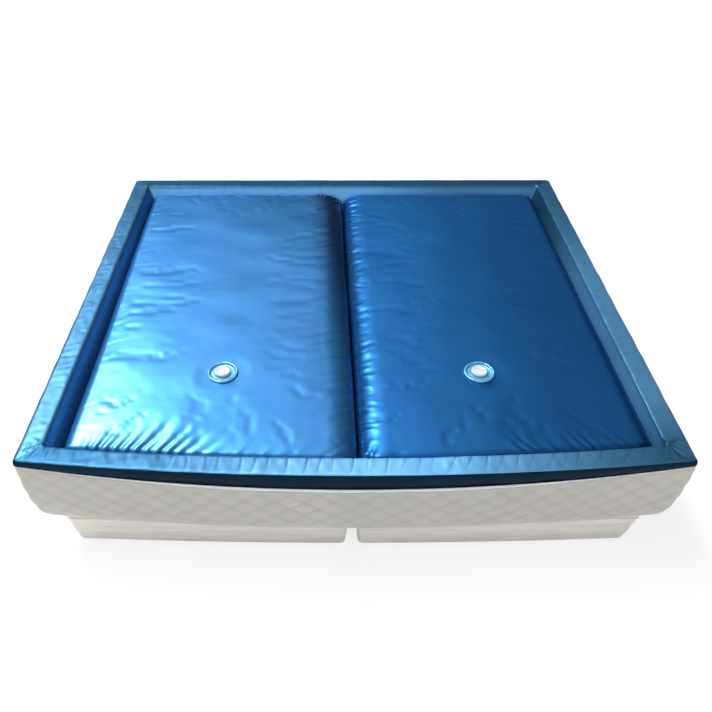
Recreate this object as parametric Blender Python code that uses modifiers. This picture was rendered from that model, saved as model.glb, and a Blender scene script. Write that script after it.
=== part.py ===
# Softside waterbed: two water cores in a foam tub with a safety liner, a quilted
# lower cover and a split, fabric-covered base. Metres, +Z up, the foot end faces -Y,
# the origin is on the floor under the middle of the bed.
import math

import bmesh
import bpy
from mathutils import Matrix, Vector

# Driving dimensions of the mattress
MATTRESS_WIDTH = 2.20
MATTRESS_LENGTH = 2.00
RAIL_TOP_HEIGHT = 0.467
FRONT_BULGE = 0.062
MATTRESS_CORNER_RADIUS = 0.030

# Clearances
SEAT_GAP = 0.0003
CUT_OVERRUN = 0.004
MERGE_DISTANCE = 0.00005
PLANE_TOLERANCE = 0.00001

# Base: boards, deck, skirt and glides
BASE_SIDE_INSET = 0.088
BASE_FRONT_INSET = 0.030
BASE_REAR_INSET = 0.060
BASE_SPLIT_WIDTH = 0.0226
BASE_CORNER_RADIUS = 0.032
GLIDE_RADIUS = 0.020
GLIDE_HEIGHT = 0.010
BOARD_HEIGHT = 0.1370
BOARD_THICKNESS = 0.018
DECK_THICKNESS = 0.0165
SKIRT_THICKNESS = 0.004
SKIRT_FLOOR_CLEARANCE = 0.006
SKIRT_TAPER = 0.021
SKIRT_SPLIT_TAPER = 0.012
SKIRT_FRONT_BOW = 0.028
SKIRT_TOP_DROP = 0.001
SKIRT_HEM_TUCK = 0.003
SKIRT_HEM_HEIGHT = 0.006
BOARD_SKIRT_CLEARANCE = 0.007
WADDING_MARGIN = 0.020
WADDING_CLEARANCE = 0.0012
LAP_STUB = 0.030
CROSS_BOARD_SHARES = (0.35, 0.65)

# Lower cover and zip
COVER_THICKNESS = 0.009
COVER_TUCK_INSET = 0.045
COVER_TUCK_HEIGHT = 0.016
COVER_WAIST_INSET = 0.010
COVER_WAIST_HEIGHT = 0.051
COVER_BELLY_INSET = 0.002
COVER_BELLY_HEIGHT = 0.136
ZIP_DROP_FRONT = 0.065
ZIP_DROP_CORNER = 0.022
ZIP_DROP_REAR = 0.045
ZIP_LEVEL_SHARE = 0.92
ZIP_TAPE_HEIGHT = 0.014
ZIP_TAPE_THICKNESS = 0.003
ZIP_TAPE_INSET = 0.0005
SLIDER_WIDTH = 0.010
SLIDER_HEIGHT = 0.015
SLIDER_TOP_WEB = 0.003
SLIDER_BACK_PLATE = 0.0012
SLIDER_FACE_PLATE = 0.0025
SLIDER_EAR_WIDTH = 0.0012
SLIDER_EAR_HEIGHT = 0.0034
SLIDER_PARK_DISTANCE = 0.14
PULL_HINGE_STANDOFF = 0.0024
PULL_HINGE_DROP = 0.004
PULL_PIN_RADIUS = 0.0008
PULL_BORE_RADIUS = 0.00095
PULL_BARREL_RADIUS = 0.0019
PULL_TAB_WIDTH = 0.0070
PULL_TAB_LENGTH = 0.032
PULL_TAB_THICKNESS = 0.0014

# Foam tub
FLOOR_PAD_THICKNESS = 0.015
RAIL_TOP_INSET = 0.078
RAIL_FOOT_INSET = 0.195
RAIL_EDGE_ROUND = 0.008
RAIL_COVER_CLEARANCE = 0.0012
DIVIDER_FOOT_WIDTH = 0.076
DIVIDER_TOP_WIDTH = 0.018
DIVIDER_HEIGHT = 0.110
DIVIDER_END_CLEARANCE = 0.060

# Safety liner
LINER_THICKNESS = 0.0015
LINER_EDGE_ROUND = 0.014
LINER_EDGE_ROUND_SHARE = 0.29
LINER_INNER_ROUND = 0.006
LINER_FLAP_INSET = 0.0080
LINER_TUCK_BEHIND_TAPE = 0.008
LINER_CORNER_RADIUS = 0.022

# Heater pads
HEATER_WIDTH = 0.30
HEATER_LENGTH = 0.70
HEATER_THICKNESS = 0.0022
HEATER_POCKET_CLEARANCE = 0.0010
LEAD_BLOCK_WIDTH = 0.055
LEAD_BLOCK_LENGTH = 0.030
LEAD_BLOCK_HEIGHT = 0.008

# Water cores
CORE_CROWN_DROP = 0.010
CORE_SHOULDER_DROP = 0.034
CORE_RISE_DROP = 0.026
CORE_RAIL_SWELL = 0.0075
CORE_MIDDLE_SWELL = 0.026
CORE_WALL = 0.0015
CORE_FOOT_CLEARANCE = 0.0020
CORE_FOOT_LOOP = 0.050
CORE_DRAW_IN = 0.006
CORE_RIM_BAND = 0.060
CORE_RISE_BAND = 0.160
CORE_CROWN_BAND = 0.300
WATER_CLEARANCE = 0.0024
FLEECE_MARGIN = 0.16
FLEECE_CLEARANCE = 0.0006
FLEECE_EDGE_INSET = 0.070
FLEECE_EDGE_HEIGHT = 0.006
FLEECE_THICKNESS = 0.060

# Filling valves
VALVE_SIDE_DISTANCE = 0.470
VALVE_FRONT_DISTANCE = 0.443
FLANGE_RADIUS = 0.0525
FLANGE_THICKNESS = 0.0022
FLANGE_RIM_WIDTH = 0.0070
FLANGE_RIM_HEIGHT = 0.0060
NECK_RADIUS = 0.0205
NECK_HEIGHT = 0.0085
NECK_DEPTH = 0.0060
BORE_RADIUS = 0.0165
LEDGE_RADIUS = 0.0120
LEDGE_THICKNESS = 0.0020
NECK_HOLE_CLEARANCE = 0.0010
PLUG_CLEARANCE = 0.0005
PLUG_BODY_HEIGHT = 0.0072
PLUG_KNOB_RADIUS = 0.0060
PLUG_KNOB_HEIGHT = 0.0044
SEAL_WIDTH = 0.0036
SEAL_THICKNESS = 0.0015
CAP_RADIUS = 0.0290
CAP_TOP_THICKNESS = 0.0032
CAP_EDGE_ROUND = 0.0022
CAP_THREAD_CLEARANCE = 0.0008
CAP_SKIRT_LIFT = 0.0042
CAP_DIMPLE_RADIUS = 0.0068
CAP_DIMPLE_DISTANCE = 0.0125
CAP_DIMPLE_DEPTH = 0.0015

# Facet counts
FRONT_STEPS = 14
SIDE_STEPS = 5
CORNER_STEPS = 3
WADDING_STEPS = 6
TURNED_STEPS = 20
SMALL_STEPS = 12
SMOOTH_ANGLE = math.radians(60)

# Levels and places worked out from the dimensions above
SLIDER_PROUD = PULL_HINGE_STANDOFF + SLIDER_FACE_PLATE + PULL_BARREL_RADIUS
HALF_WIDTH = MATTRESS_WIDTH / 2
FRONT_Y = -(MATTRESS_LENGTH - FRONT_BULGE + SLIDER_PROUD) / 2
REAR_Y = FRONT_Y + MATTRESS_LENGTH
MIDDLE_Y = (FRONT_Y + REAR_Y) / 2
BOARD_FOOT_Z = GLIDE_HEIGHT + SEAT_GAP
BOARD_TOP_Z = BOARD_FOOT_Z + BOARD_HEIGHT
DECK_FOOT_Z = BOARD_TOP_Z + SEAT_GAP
DECK_TOP_Z = DECK_FOOT_Z + DECK_THICKNESS
COVER_FOOT_Z = DECK_TOP_Z + SEAT_GAP
COVER_FLOOR_Z = COVER_FOOT_Z + COVER_THICKNESS
PAD_FOOT_Z = COVER_FLOOR_Z + SEAT_GAP
PAD_TOP_Z = PAD_FOOT_Z + FLOOR_PAD_THICKNESS
TUB_FLOOR_Z = PAD_TOP_Z + SEAT_GAP
LINER_TOP_Z = TUB_FLOOR_Z + LINER_THICKNESS
RAIL_FOAM_TOP_Z = RAIL_TOP_HEIGHT - LINER_THICKNESS - SEAT_GAP
CORE_FLOOR_Z = LINER_TOP_Z + SEAT_GAP
CORE_CROWN_Z = RAIL_TOP_HEIGHT - CORE_CROWN_DROP
VALVE_Z = CORE_CROWN_Z + SEAT_GAP
VALVE_Y = FRONT_Y + VALVE_FRONT_DISTANCE
RAIL_LEAN = (RAIL_FOOT_INSET - RAIL_TOP_INSET) / (RAIL_FOAM_TOP_Z - TUB_FLOOR_Z)
RAIL_LEAN_STRETCH = math.sqrt(1 + RAIL_LEAN ** 2)
SIDES = {"left": -1, "right": 1}

# Colours: base colour, roughness, metallic
FINISHES = {
    "base_board": ((0.72, 0.55, 0.36), 0.6, 0.0),
    "deck_board": ((0.76, 0.62, 0.44), 0.6, 0.0),
    "base_fabric": ((0.70, 0.68, 0.64), 0.95, 0.0),
    "wadding": ((0.90, 0.90, 0.88), 0.95, 0.0),
    "glide": ((0.05, 0.05, 0.05), 0.6, 0.0),
    "steel": ((0.60, 0.60, 0.62), 0.35, 1.0),
    "quilted_cover": ((0.74, 0.72, 0.68), 0.9, 0.0),
    "zip_tape": ((0.92, 0.92, 0.90), 0.8, 0.0),
    "rail_foam": ((0.85, 0.83, 0.74), 0.95, 0.0),
    "liner_vinyl": ((0.16, 0.42, 0.66), 0.35, 0.0),
    "heater_pad": ((0.12, 0.12, 0.13), 0.5, 0.0),
    "core_vinyl": ((0.05, 0.25, 0.55), 0.25, 0.0),
    "water": ((0.55, 0.75, 0.85), 0.05, 0.0),
    "fleece": ((0.93, 0.93, 0.93), 0.95, 0.0),
    "valve_vinyl": ((0.25, 0.55, 0.80), 0.3, 0.0),
    "valve_cap": ((0.90, 0.91, 0.91), 0.4, 0.0),
    "seal_rubber": ((0.10, 0.10, 0.10), 0.7, 0.0),
}


# Scene, materials and objects
def clear_scene():
    for old in list(bpy.data.objects):
        bpy.data.objects.remove(old, do_unlink=True)
    for old in list(bpy.data.collections):
        bpy.data.collections.remove(old)


def new_collection(name):
    collection = bpy.data.collections.new(name)
    bpy.context.scene.collection.children.link(collection)
    return collection


def material(name, finish):
    colour, roughness, metallic = FINISHES[finish]
    made = bpy.data.materials.new(name)
    made.use_nodes = True
    shader = made.node_tree.nodes["Principled BSDF"]
    shader.inputs["Base Color"].default_value = (*colour, 1.0)
    shader.inputs["Roughness"].default_value = roughness
    shader.inputs["Metallic"].default_value = metallic
    return made


def add_object(name, mesh, finish, smooth_angle=None):
    made = bpy.data.objects.new(name, mesh)
    PARTS.objects.link(made)
    mesh.materials.append(material(name, finish))
    if smooth_angle is not None:
        mesh.shade_smooth()
        mesh.set_sharp_from_angle(angle=smooth_angle)
    return made


def mesh_from(name, shape):
    bmesh.ops.recalc_face_normals(shape, faces=shape.faces)
    mesh = bpy.data.meshes.new(name)
    shape.to_mesh(mesh)
    shape.free()
    return mesh


def add_cutter(name, mesh):
    cutter = bpy.data.objects.new(name, mesh)
    CUTTERS.objects.link(cutter)
    cutter.hide_render = True
    cutter.display_type = "WIRE"
    return cutter


def combine(target, other, operation="DIFFERENCE"):
    step = target.modifiers.new(operation.title() + " " + other.name, "BOOLEAN")
    step.operation = operation
    step.solver = "EXACT"
    step.object = other


def solidify(target, thickness):
    """Gives a surface a wall on its inner side."""
    shell = target.modifiers.new("Wall", "SOLIDIFY")
    shell.thickness = thickness
    shell.offset = -1
    shell.use_even_offset = True


def subdivide(target, levels):
    soft = target.modifiers.new("Soft", "SUBSURF")
    soft.levels = levels
    soft.render_levels = levels


# Plain shapes
def add_box(shape, low, high):
    size = Vector(high) - Vector(low)
    centre = (Vector(high) + Vector(low)) / 2
    place = Matrix.Translation(centre) @ Matrix.Diagonal((*size, 1.0))
    bmesh.ops.create_cube(shape, size=1.0, matrix=place)


def boxes(name, corners):
    shape = bmesh.new()
    for low, high in corners:
        add_box(shape, low, high)
    return mesh_from(name, shape)


def add_cylinder(shape, start, end, radius, steps):
    axis = Vector(end) - Vector(start)
    turn = axis.to_track_quat("Z", "Y").to_matrix().to_4x4()
    place = Matrix.Translation((Vector(start) + Vector(end)) / 2) @ turn
    bmesh.ops.create_cone(shape, cap_ends=True, segments=steps, radius1=radius,
                          radius2=radius, depth=axis.length, matrix=place)


def cylinders(name, runs, steps):
    shape = bmesh.new()
    for start, end, radius in runs:
        add_cylinder(shape, start, end, radius, steps)
    return mesh_from(name, shape)


def turned(name, profile, steps, finish, closed=False):
    """A profile in the XZ plane, listed down its outer side, turned about Z."""
    shape = bmesh.new()
    points = [shape.verts.new((radius, 0, height)) for radius, height in profile]
    pairs = list(zip(points, points[1:]))
    if closed:
        pairs.append((points[-1], points[0]))
    for pair in pairs:
        shape.edges.new(pair)
    mesh = bpy.data.meshes.new(name)
    shape.to_mesh(mesh)
    shape.free()
    made = add_object(name, mesh, finish)
    spin = made.modifiers.new("Turn", "SCREW")
    spin.steps = steps
    spin.render_steps = steps
    spin.use_merge_vertices = True
    spin.merge_threshold = MERGE_DISTANCE
    spin.use_smooth_shade = False
    return made


# Outlines that follow the bed's plan
def front_bow(x, bow):
    return bow * (1 - (x / HALF_WIDTH) ** 2)


def outline(low, high, radius, bow):
    """A rounded rectangle, anticlockwise from its front left, its front bowed out."""
    (x0, y0), (x1, y1) = low, high
    points = []
    runs = (
        ((x0 + radius, y0), (x1 - radius, y0), FRONT_STEPS, -math.pi / 2, (x1 - radius, y0 + radius)),
        ((x1, y0 + radius), (x1, y1 - radius), SIDE_STEPS, 0.0, (x1 - radius, y1 - radius)),
        ((x1 - radius, y1), (x0 + radius, y1), SIDE_STEPS, math.pi / 2, (x0 + radius, y1 - radius)),
        ((x0, y1 - radius), (x0, y0 + radius), SIDE_STEPS, math.pi, (x0 + radius, y0 + radius)),
    )
    for start, end, steps, angle, centre in runs:
        for step in range(steps):
            share = step / steps
            points.append((start[0] + (end[0] - start[0]) * share,
                           start[1] + (end[1] - start[1]) * share))
        for step in range(CORNER_STEPS):
            turn = angle + math.pi / 2 * step / CORNER_STEPS
            points.append((centre[0] + radius * math.cos(turn),
                           centre[1] + radius * math.sin(turn)))
    middle = (y0 + y1) / 2
    return [(x, y - front_bow(x, bow)) if y < middle else (x, y) for x, y in points]


def corner_radius(inset):
    """Plan radius of the tub's corners: wide outside, tighter inside the rails."""
    return MATTRESS_CORNER_RADIUS if inset < RAIL_TOP_INSET / 2 else LINER_CORNER_RADIUS


def mattress_outline(inset, radius=MATTRESS_CORNER_RADIUS):
    low = (-HALF_WIDTH + inset, FRONT_Y + inset)
    high = (HALF_WIDTH - inset, REAR_Y - inset)
    return outline(low, high, radius, FRONT_BULGE)


def base_outline(side, inset, split_inset, radius=BASE_CORNER_RADIUS):
    """The plan of one base half; side is -1 for the left half and 1 for the right."""
    near = BASE_SPLIT_WIDTH / 2 + split_inset
    far = HALF_WIDTH - BASE_SIDE_INSET - inset
    low = (min(side * near, side * far), FRONT_Y + BASE_FRONT_INSET + inset)
    high = (max(side * near, side * far), REAR_Y - BASE_REAR_INSET - inset)
    return outline(low, high, radius, SKIRT_FRONT_BOW)


def ring_edges(shape, ring):
    return [shape.edges.get(pair) for pair in zip(ring, ring[1:] + ring[:1])]


def grow_ring(shape, ring, points):
    """Extrudes a closed ring of vertices to new points, and keeps their order."""
    grown = bmesh.ops.extrude_edge_only(shape, edges=ring_edges(shape, ring))["geom"]
    fresh = {item for item in grown if isinstance(item, bmesh.types.BMVert)}
    following = []
    for vert, point in zip(ring, points):
        partner = next(edge.other_vert(vert) for edge in vert.link_edges if edge.other_vert(vert) in fresh)
        partner.co = point
        following.append(partner)
    return following


def stacked_loops(shape, loops):
    """Joins closed loops of (x, y, z) points into one band of faces; returns its two end rings."""
    first = [shape.verts.new(point) for point in loops[0]]
    for pair in zip(first, first[1:] + first[:1]):
        shape.edges.new(pair)
    last = first
    for points in loops[1:]:
        last = grow_ring(shape, last, points)
    return first, last


def lidded_stack(loops):
    """Stacked loops closed by a flat face at each end."""
    shape = bmesh.new()
    for ring in stacked_loops(shape, loops):
        shape.faces.new(ring)
    return shape


def level(points, height):
    return [(x, y, height) for x, y in points]


def keep_behind(shape, point, normal):
    """Cuts a closed shape with a plane, drops what lies in front and caps the cut."""
    geometry = shape.verts[:] + shape.edges[:] + shape.faces[:]
    cut = bmesh.ops.bisect_plane(shape, geom=geometry, dist=PLANE_TOLERANCE, plane_co=point,
                                 plane_no=normal, clear_outer=True)["geom_cut"]
    rim = [item for item in cut if isinstance(item, bmesh.types.BMEdge)]
    bmesh.ops.holes_fill(shape, edges=rim)


# Base halves
def board_span(side):
    """The rectangle that the boards of one half fill: near x, far x, front y, rear y."""
    inset = SKIRT_THICKNESS + BOARD_SKIRT_CLEARANCE
    near = side * (BASE_SPLIT_WIDTH / 2 + SKIRT_SPLIT_TAPER + inset)
    far = side * (HALF_WIDTH - BASE_SIDE_INSET - SKIRT_TAPER - inset)
    front = FRONT_Y + BASE_FRONT_INSET + SKIRT_TAPER + inset
    rear = REAR_Y - BASE_REAR_INSET - SKIRT_TAPER - inset
    return near, far, front, rear


def make_base_frame(word, side):
    """Boards on edge that cross in half laps: those along the width sit over those along the bed."""
    near, far, front, rear = board_span(side)
    low_x, high_x = sorted((near, far))
    across = {"front_board": front + LAP_STUB, "rear_board": rear - LAP_STUB}
    for number, share in enumerate(CROSS_BOARD_SHARES, 1):
        across["cross_board_" + str(number)] = front + (rear - front) * share
    along = {"inner_board": near + side * LAP_STUB, "middle_board": (near + far) / 2,
             "outer_board": far - side * LAP_STUB}
    half = BOARD_THICKNESS / 2
    slot = half + SEAT_GAP
    lap_z = (BOARD_FOOT_Z + BOARD_TOP_Z) / 2
    lower_slots = add_cutter("lower_slots_" + word, boxes("lower_slots_" + word, [
        ((x - slot, y - slot - CUT_OVERRUN, BOARD_FOOT_Z - CUT_OVERRUN),
         (x + slot, y + slot + CUT_OVERRUN, lap_z)) for x in along.values() for y in across.values()]))
    upper_slots = add_cutter("upper_slots_" + word, boxes("upper_slots_" + word, [
        ((x - slot - CUT_OVERRUN, y - slot, lap_z - SEAT_GAP),
         (x + slot + CUT_OVERRUN, y + slot, BOARD_TOP_Z + CUT_OVERRUN))
        for x in along.values() for y in across.values()]))
    for part, y in across.items():
        name = "base_" + part + "_" + word
        mesh = boxes(name, [((low_x, y - half, BOARD_FOOT_Z), (high_x, y + half, BOARD_TOP_Z))])
        combine(add_object(name, mesh, "base_board"), lower_slots)
    for part, x in along.items():
        name = "base_" + part + "_" + word
        mesh = boxes(name, [((x - half, front, BOARD_FOOT_Z), (x + half, rear, BOARD_TOP_Z))])
        combine(add_object(name, mesh, "base_board"), upper_slots)


def skirt_taper_share(height):
    """How much of its taper the skirt has at a height: 1 at its hem, 0 at its top."""
    return (DECK_TOP_Z - height) / (DECK_TOP_Z - SKIRT_FLOOR_CLEARANCE)


def make_deck(word, side):
    lean = skirt_taper_share(DECK_FOOT_Z)
    inset = SKIRT_THICKNESS + 2 * SEAT_GAP
    points = base_outline(side, inset + SKIRT_TAPER * lean, inset + SKIRT_SPLIT_TAPER * lean,
                          BASE_CORNER_RADIUS - inset)
    for part, facing in (("front", 1), ("rear", -1)):
        shape = lidded_stack([level(points, DECK_FOOT_Z), level(points, DECK_TOP_Z)])
        keep_behind(shape, (0, MIDDLE_Y - facing * SEAT_GAP / 2, 0), (0, facing, 0))
        name = "base_deck_" + part + "_" + word
        add_object(name, mesh_from(name, shape), "deck_board")


def make_skirt(word, side):
    levels = ((SKIRT_HEM_TUCK, SKIRT_FLOOR_CLEARANCE), (0.0, SKIRT_FLOOR_CLEARANCE + SKIRT_HEM_HEIGHT),
              (0.0, DECK_TOP_Z - SKIRT_TOP_DROP))
    loops = []
    for tuck, height in levels:
        taper = skirt_taper_share(height)
        points = base_outline(side, SKIRT_TAPER * taper + tuck, SKIRT_SPLIT_TAPER * taper + tuck)
        loops.append(level(points, height))
    shape = bmesh.new()
    stacked_loops(shape, loops)
    name = "base_skirt_" + word
    skirt = add_object(name, mesh_from(name, shape), "base_fabric")
    solidify(skirt, SKIRT_THICKNESS)


def make_wadding(word, side):
    """Upholstery wadding between the straight front board and the bowed skirt."""
    near, far, front, rear = board_span(side)
    low_x = min(near, far) + WADDING_MARGIN
    high_x = max(near, far) - WADDING_MARGIN
    rings = []
    for height in (BOARD_FOOT_Z + WADDING_MARGIN / 2, DECK_FOOT_Z - SEAT_GAP):
        face_y = FRONT_Y + BASE_FRONT_INSET + SKIRT_TAPER * skirt_taper_share(height)
        face_y += SKIRT_THICKNESS + WADDING_CLEARANCE
        ring = [(high_x, front - SEAT_GAP, height), (low_x, front - SEAT_GAP, height)]
        for step in range(WADDING_STEPS + 1):
            x = low_x + (high_x - low_x) * step / WADDING_STEPS
            ring.append((x, face_y - front_bow(x, SKIRT_FRONT_BOW), height))
        rings.append(ring)
    name = "base_wadding_" + word
    add_object(name, mesh_from(name, lidded_stack(rings)), "wadding")


def make_glides(word, side):
    near, far, front, rear = board_span(side)
    for part_x, x in (("inner", near + side * LAP_STUB), ("outer", far - side * LAP_STUB)):
        for part_y, y in (("front", front + LAP_STUB), ("rear", rear - LAP_STUB)):
            name = "_".join(("base_glide", part_y, part_x, word))
            run = ((x, y, 0), (x, y, GLIDE_HEIGHT), GLIDE_RADIUS)
            add_object(name, cylinders(name, [run], SMALL_STEPS), "glide")


# Lower cover and zip
def zip_height(x, y):
    """Height of the zip's top edge: it sags along the front and climbs to its corners."""
    if y < FRONT_Y + MATTRESS_CORNER_RADIUS:
        sag = (ZIP_DROP_FRONT - ZIP_DROP_CORNER) * max(0.0, 1 - (x / HALF_WIDTH) ** 2)
        return RAIL_TOP_HEIGHT - ZIP_DROP_CORNER - sag
    along = min(1.0, (y - FRONT_Y) / (MATTRESS_LENGTH * ZIP_LEVEL_SHARE))
    return RAIL_TOP_HEIGHT - ZIP_DROP_CORNER - (ZIP_DROP_REAR - ZIP_DROP_CORNER) * along


def cover_insets():
    """Outer face of the cover: (inset from the mattress plan, height), top to bottom."""
    return ((0.0, None),
            (COVER_BELLY_INSET, COVER_FOOT_Z + COVER_BELLY_HEIGHT),
            (COVER_WAIST_INSET, COVER_FOOT_Z + COVER_WAIST_HEIGHT),
            (COVER_TUCK_INSET / 2, COVER_FOOT_Z + COVER_TUCK_HEIGHT),
            (COVER_TUCK_INSET, COVER_FOOT_Z))


def make_cover():
    loops = []
    for inset, height in cover_insets():
        points = mattress_outline(inset)
        if height is None:
            loops.append([(x, y, zip_height(x, y) - ZIP_TAPE_HEIGHT - SEAT_GAP) for x, y in points])
        else:
            loops.append(level(points, height))
    shape = bmesh.new()
    shape.faces.new(stacked_loops(shape, loops)[1])
    cover = add_object("cover_lower", mesh_from("cover_lower", shape), "quilted_cover")
    solidify(cover, COVER_THICKNESS)


def make_zip_tape():
    points = mattress_outline(ZIP_TAPE_INSET)
    loops = [[(x, y, zip_height(x, y)) for x, y in points],
             [(x, y, zip_height(x, y) - ZIP_TAPE_HEIGHT) for x, y in points]]
    shape = bmesh.new()
    stacked_loops(shape, loops)
    tape = add_object("zip_tape", mesh_from("zip_tape", shape), "zip_tape")
    solidify(tape, ZIP_TAPE_THICKNESS)


def make_zip_slider():
    """A slider that straddles the tape's top edge on the rear, and its hanging pull tab."""
    park_x = -HALF_WIDTH + SLIDER_PARK_DISTANCE
    edge_z = RAIL_TOP_HEIGHT - ZIP_DROP_REAR
    tape_back = REAR_Y - ZIP_TAPE_INSET - ZIP_TAPE_THICKNESS - SEAT_GAP
    tape_front = REAR_Y - ZIP_TAPE_INSET + SEAT_GAP
    face_y = tape_front + SLIDER_FACE_PLATE
    body_low = (park_x - SLIDER_WIDTH / 2, tape_back - SLIDER_BACK_PLATE, edge_z + SLIDER_TOP_WEB - SLIDER_HEIGHT)
    body_high = (park_x + SLIDER_WIDTH / 2, face_y, edge_z + SLIDER_TOP_WEB)
    slider = add_object("zip_slider", boxes("zip_slider", [(body_low, body_high)]), "steel")
    slot = add_cutter("slider_slot", boxes("slider_slot", [
        ((body_low[0] - CUT_OVERRUN, tape_back, body_low[2] - CUT_OVERRUN),
         (body_high[0] + CUT_OVERRUN, tape_front, edge_z + SEAT_GAP))]))
    combine(slider, slot)

    hinge_y = face_y + PULL_HINGE_STANDOFF
    hinge_z = edge_z - PULL_HINGE_DROP
    ear_in = PULL_TAB_WIDTH / 2 + SEAT_GAP
    ears = []
    for side in (-1, 1):
        ears.append(((park_x + min(side * ear_in, side * (ear_in + SLIDER_EAR_WIDTH)),
                      face_y - SLIDER_FACE_PLATE / 2, hinge_z - SLIDER_EAR_HEIGHT / 2),
                     (park_x + max(side * ear_in, side * (ear_in + SLIDER_EAR_WIDTH)),
                      hinge_y + PULL_PIN_RADIUS, hinge_z + SLIDER_EAR_HEIGHT / 2)))
    combine(slider, add_cutter("slider_ears", boxes("slider_ears", ears)), "UNION")
    reach = ear_in + SLIDER_EAR_WIDTH / 2
    pin = cylinders("slider_pin", [((park_x - reach, hinge_y, hinge_z),
                                    (park_x + reach, hinge_y, hinge_z), PULL_PIN_RADIUS)], SMALL_STEPS)
    combine(slider, add_cutter("slider_pin", pin), "UNION")

    half = PULL_TAB_WIDTH / 2
    tab_mesh = boxes("zip_pull_tab", [
        ((park_x - half, hinge_y - PULL_TAB_THICKNESS / 2, hinge_z - PULL_TAB_LENGTH),
         (park_x + half, hinge_y + PULL_TAB_THICKNESS / 2, hinge_z))])
    tab = add_object("zip_pull_tab", tab_mesh, "steel")
    barrel = cylinders("pull_barrel", [((park_x - half, hinge_y, hinge_z),
                                        (park_x + half, hinge_y, hinge_z), PULL_BARREL_RADIUS)], SMALL_STEPS)
    combine(tab, add_cutter("pull_barrel", barrel), "UNION")
    bore = cylinders("pull_bore", [((park_x - half - CUT_OVERRUN, hinge_y, hinge_z),
                                    (park_x + half + CUT_OVERRUN, hinge_y, hinge_z),
                                    PULL_BORE_RADIUS)], SMALL_STEPS)
    combine(tab, add_cutter("pull_bore", bore))


# Foam tub
def rail_inset(height):
    """Inset of the rails' leaning inner face at a height."""
    return RAIL_FOOT_INSET - RAIL_LEAN * (height - TUB_FLOOR_Z)


def cover_inner_inset(height):
    """Inset of the cover's inner face at a height, with the rails' clearance."""
    outer = [(inset, level) for inset, level in cover_insets() if level is not None]
    outer.insert(0, (0.0, RAIL_TOP_HEIGHT))
    for (inset_a, level_a), (inset_b, level_b) in zip(outer, outer[1:]):
        if height >= level_b:
            share = (height - level_b) / (level_a - level_b)
            slope = math.hypot(1, (inset_b - inset_a) / (level_a - level_b))
            face = inset_b + (inset_a - inset_b) * share
            return face + (COVER_THICKNESS + RAIL_COVER_CLEARANCE) * slope
    return COVER_TUCK_INSET


def rail_loops():
    waist_z = COVER_FOOT_Z + COVER_WAIST_HEIGHT
    belly_z = COVER_FOOT_Z + COVER_BELLY_HEIGHT
    outer_inset = COVER_THICKNESS + RAIL_COVER_CLEARANCE
    section = (
        (cover_inner_inset(TUB_FLOOR_Z), TUB_FLOOR_Z),
        (cover_inner_inset(waist_z), waist_z),
        (cover_inner_inset(belly_z), belly_z),
        (outer_inset, RAIL_FOAM_TOP_Z - RAIL_EDGE_ROUND),
        (outer_inset + RAIL_EDGE_ROUND, RAIL_FOAM_TOP_Z),
        (RAIL_TOP_INSET - RAIL_EDGE_ROUND, RAIL_FOAM_TOP_Z),
        (rail_inset(RAIL_FOAM_TOP_Z - RAIL_EDGE_ROUND), RAIL_FOAM_TOP_Z - RAIL_EDGE_ROUND),
        (RAIL_FOOT_INSET, TUB_FLOOR_Z),
    )
    return [level(mattress_outline(inset, corner_radius(inset)), height) for inset, height in section]


def make_rails():
    """One foam ring, mitred at its corners into four rails."""
    corner_x = HALF_WIDTH
    mitres = {
        "front": (((-corner_x, FRONT_Y), (1, -1)), ((corner_x, FRONT_Y), (-1, -1))),
        "rear": (((-corner_x, REAR_Y), (1, 1)), ((corner_x, REAR_Y), (-1, 1))),
        "left": (((-corner_x, FRONT_Y), (-1, 1)), ((-corner_x, REAR_Y), (-1, -1))),
        "right": (((corner_x, FRONT_Y), (1, 1)), ((corner_x, REAR_Y), (1, -1))),
    }
    for word, cuts in mitres.items():
        shape = bmesh.new()
        outer_foot, inner_foot = stacked_loops(shape, rail_loops())
        bmesh.ops.bridge_loops(shape, edges=ring_edges(shape, outer_foot) + ring_edges(shape, inner_foot))
        bmesh.ops.recalc_face_normals(shape, faces=shape.faces)
        for (x, y), inward in cuts:
            normal = Vector((-inward[0], -inward[1], 0)).normalized()
            keep_behind(shape, Vector((x, y, 0)) - normal * SEAT_GAP / 2, normal)
        name = "rail_" + word
        add_object(name, mesh_from(name, shape), "rail_foam")


def heater_spans(side):
    """Plan of one heater pad and of the lead block at its head end."""
    centre_x = side * VALVE_SIDE_DISTANCE
    pad_low = (centre_x - HEATER_WIDTH / 2, MIDDLE_Y - HEATER_LENGTH / 2)
    pad_high = (centre_x + HEATER_WIDTH / 2, MIDDLE_Y + HEATER_LENGTH / 2)
    block_low = (centre_x - LEAD_BLOCK_WIDTH / 2, pad_high[1] + SEAT_GAP)
    block_high = (centre_x + LEAD_BLOCK_WIDTH / 2, pad_high[1] + SEAT_GAP + LEAD_BLOCK_LENGTH)
    return (pad_low, pad_high), (block_low, block_high)


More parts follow.
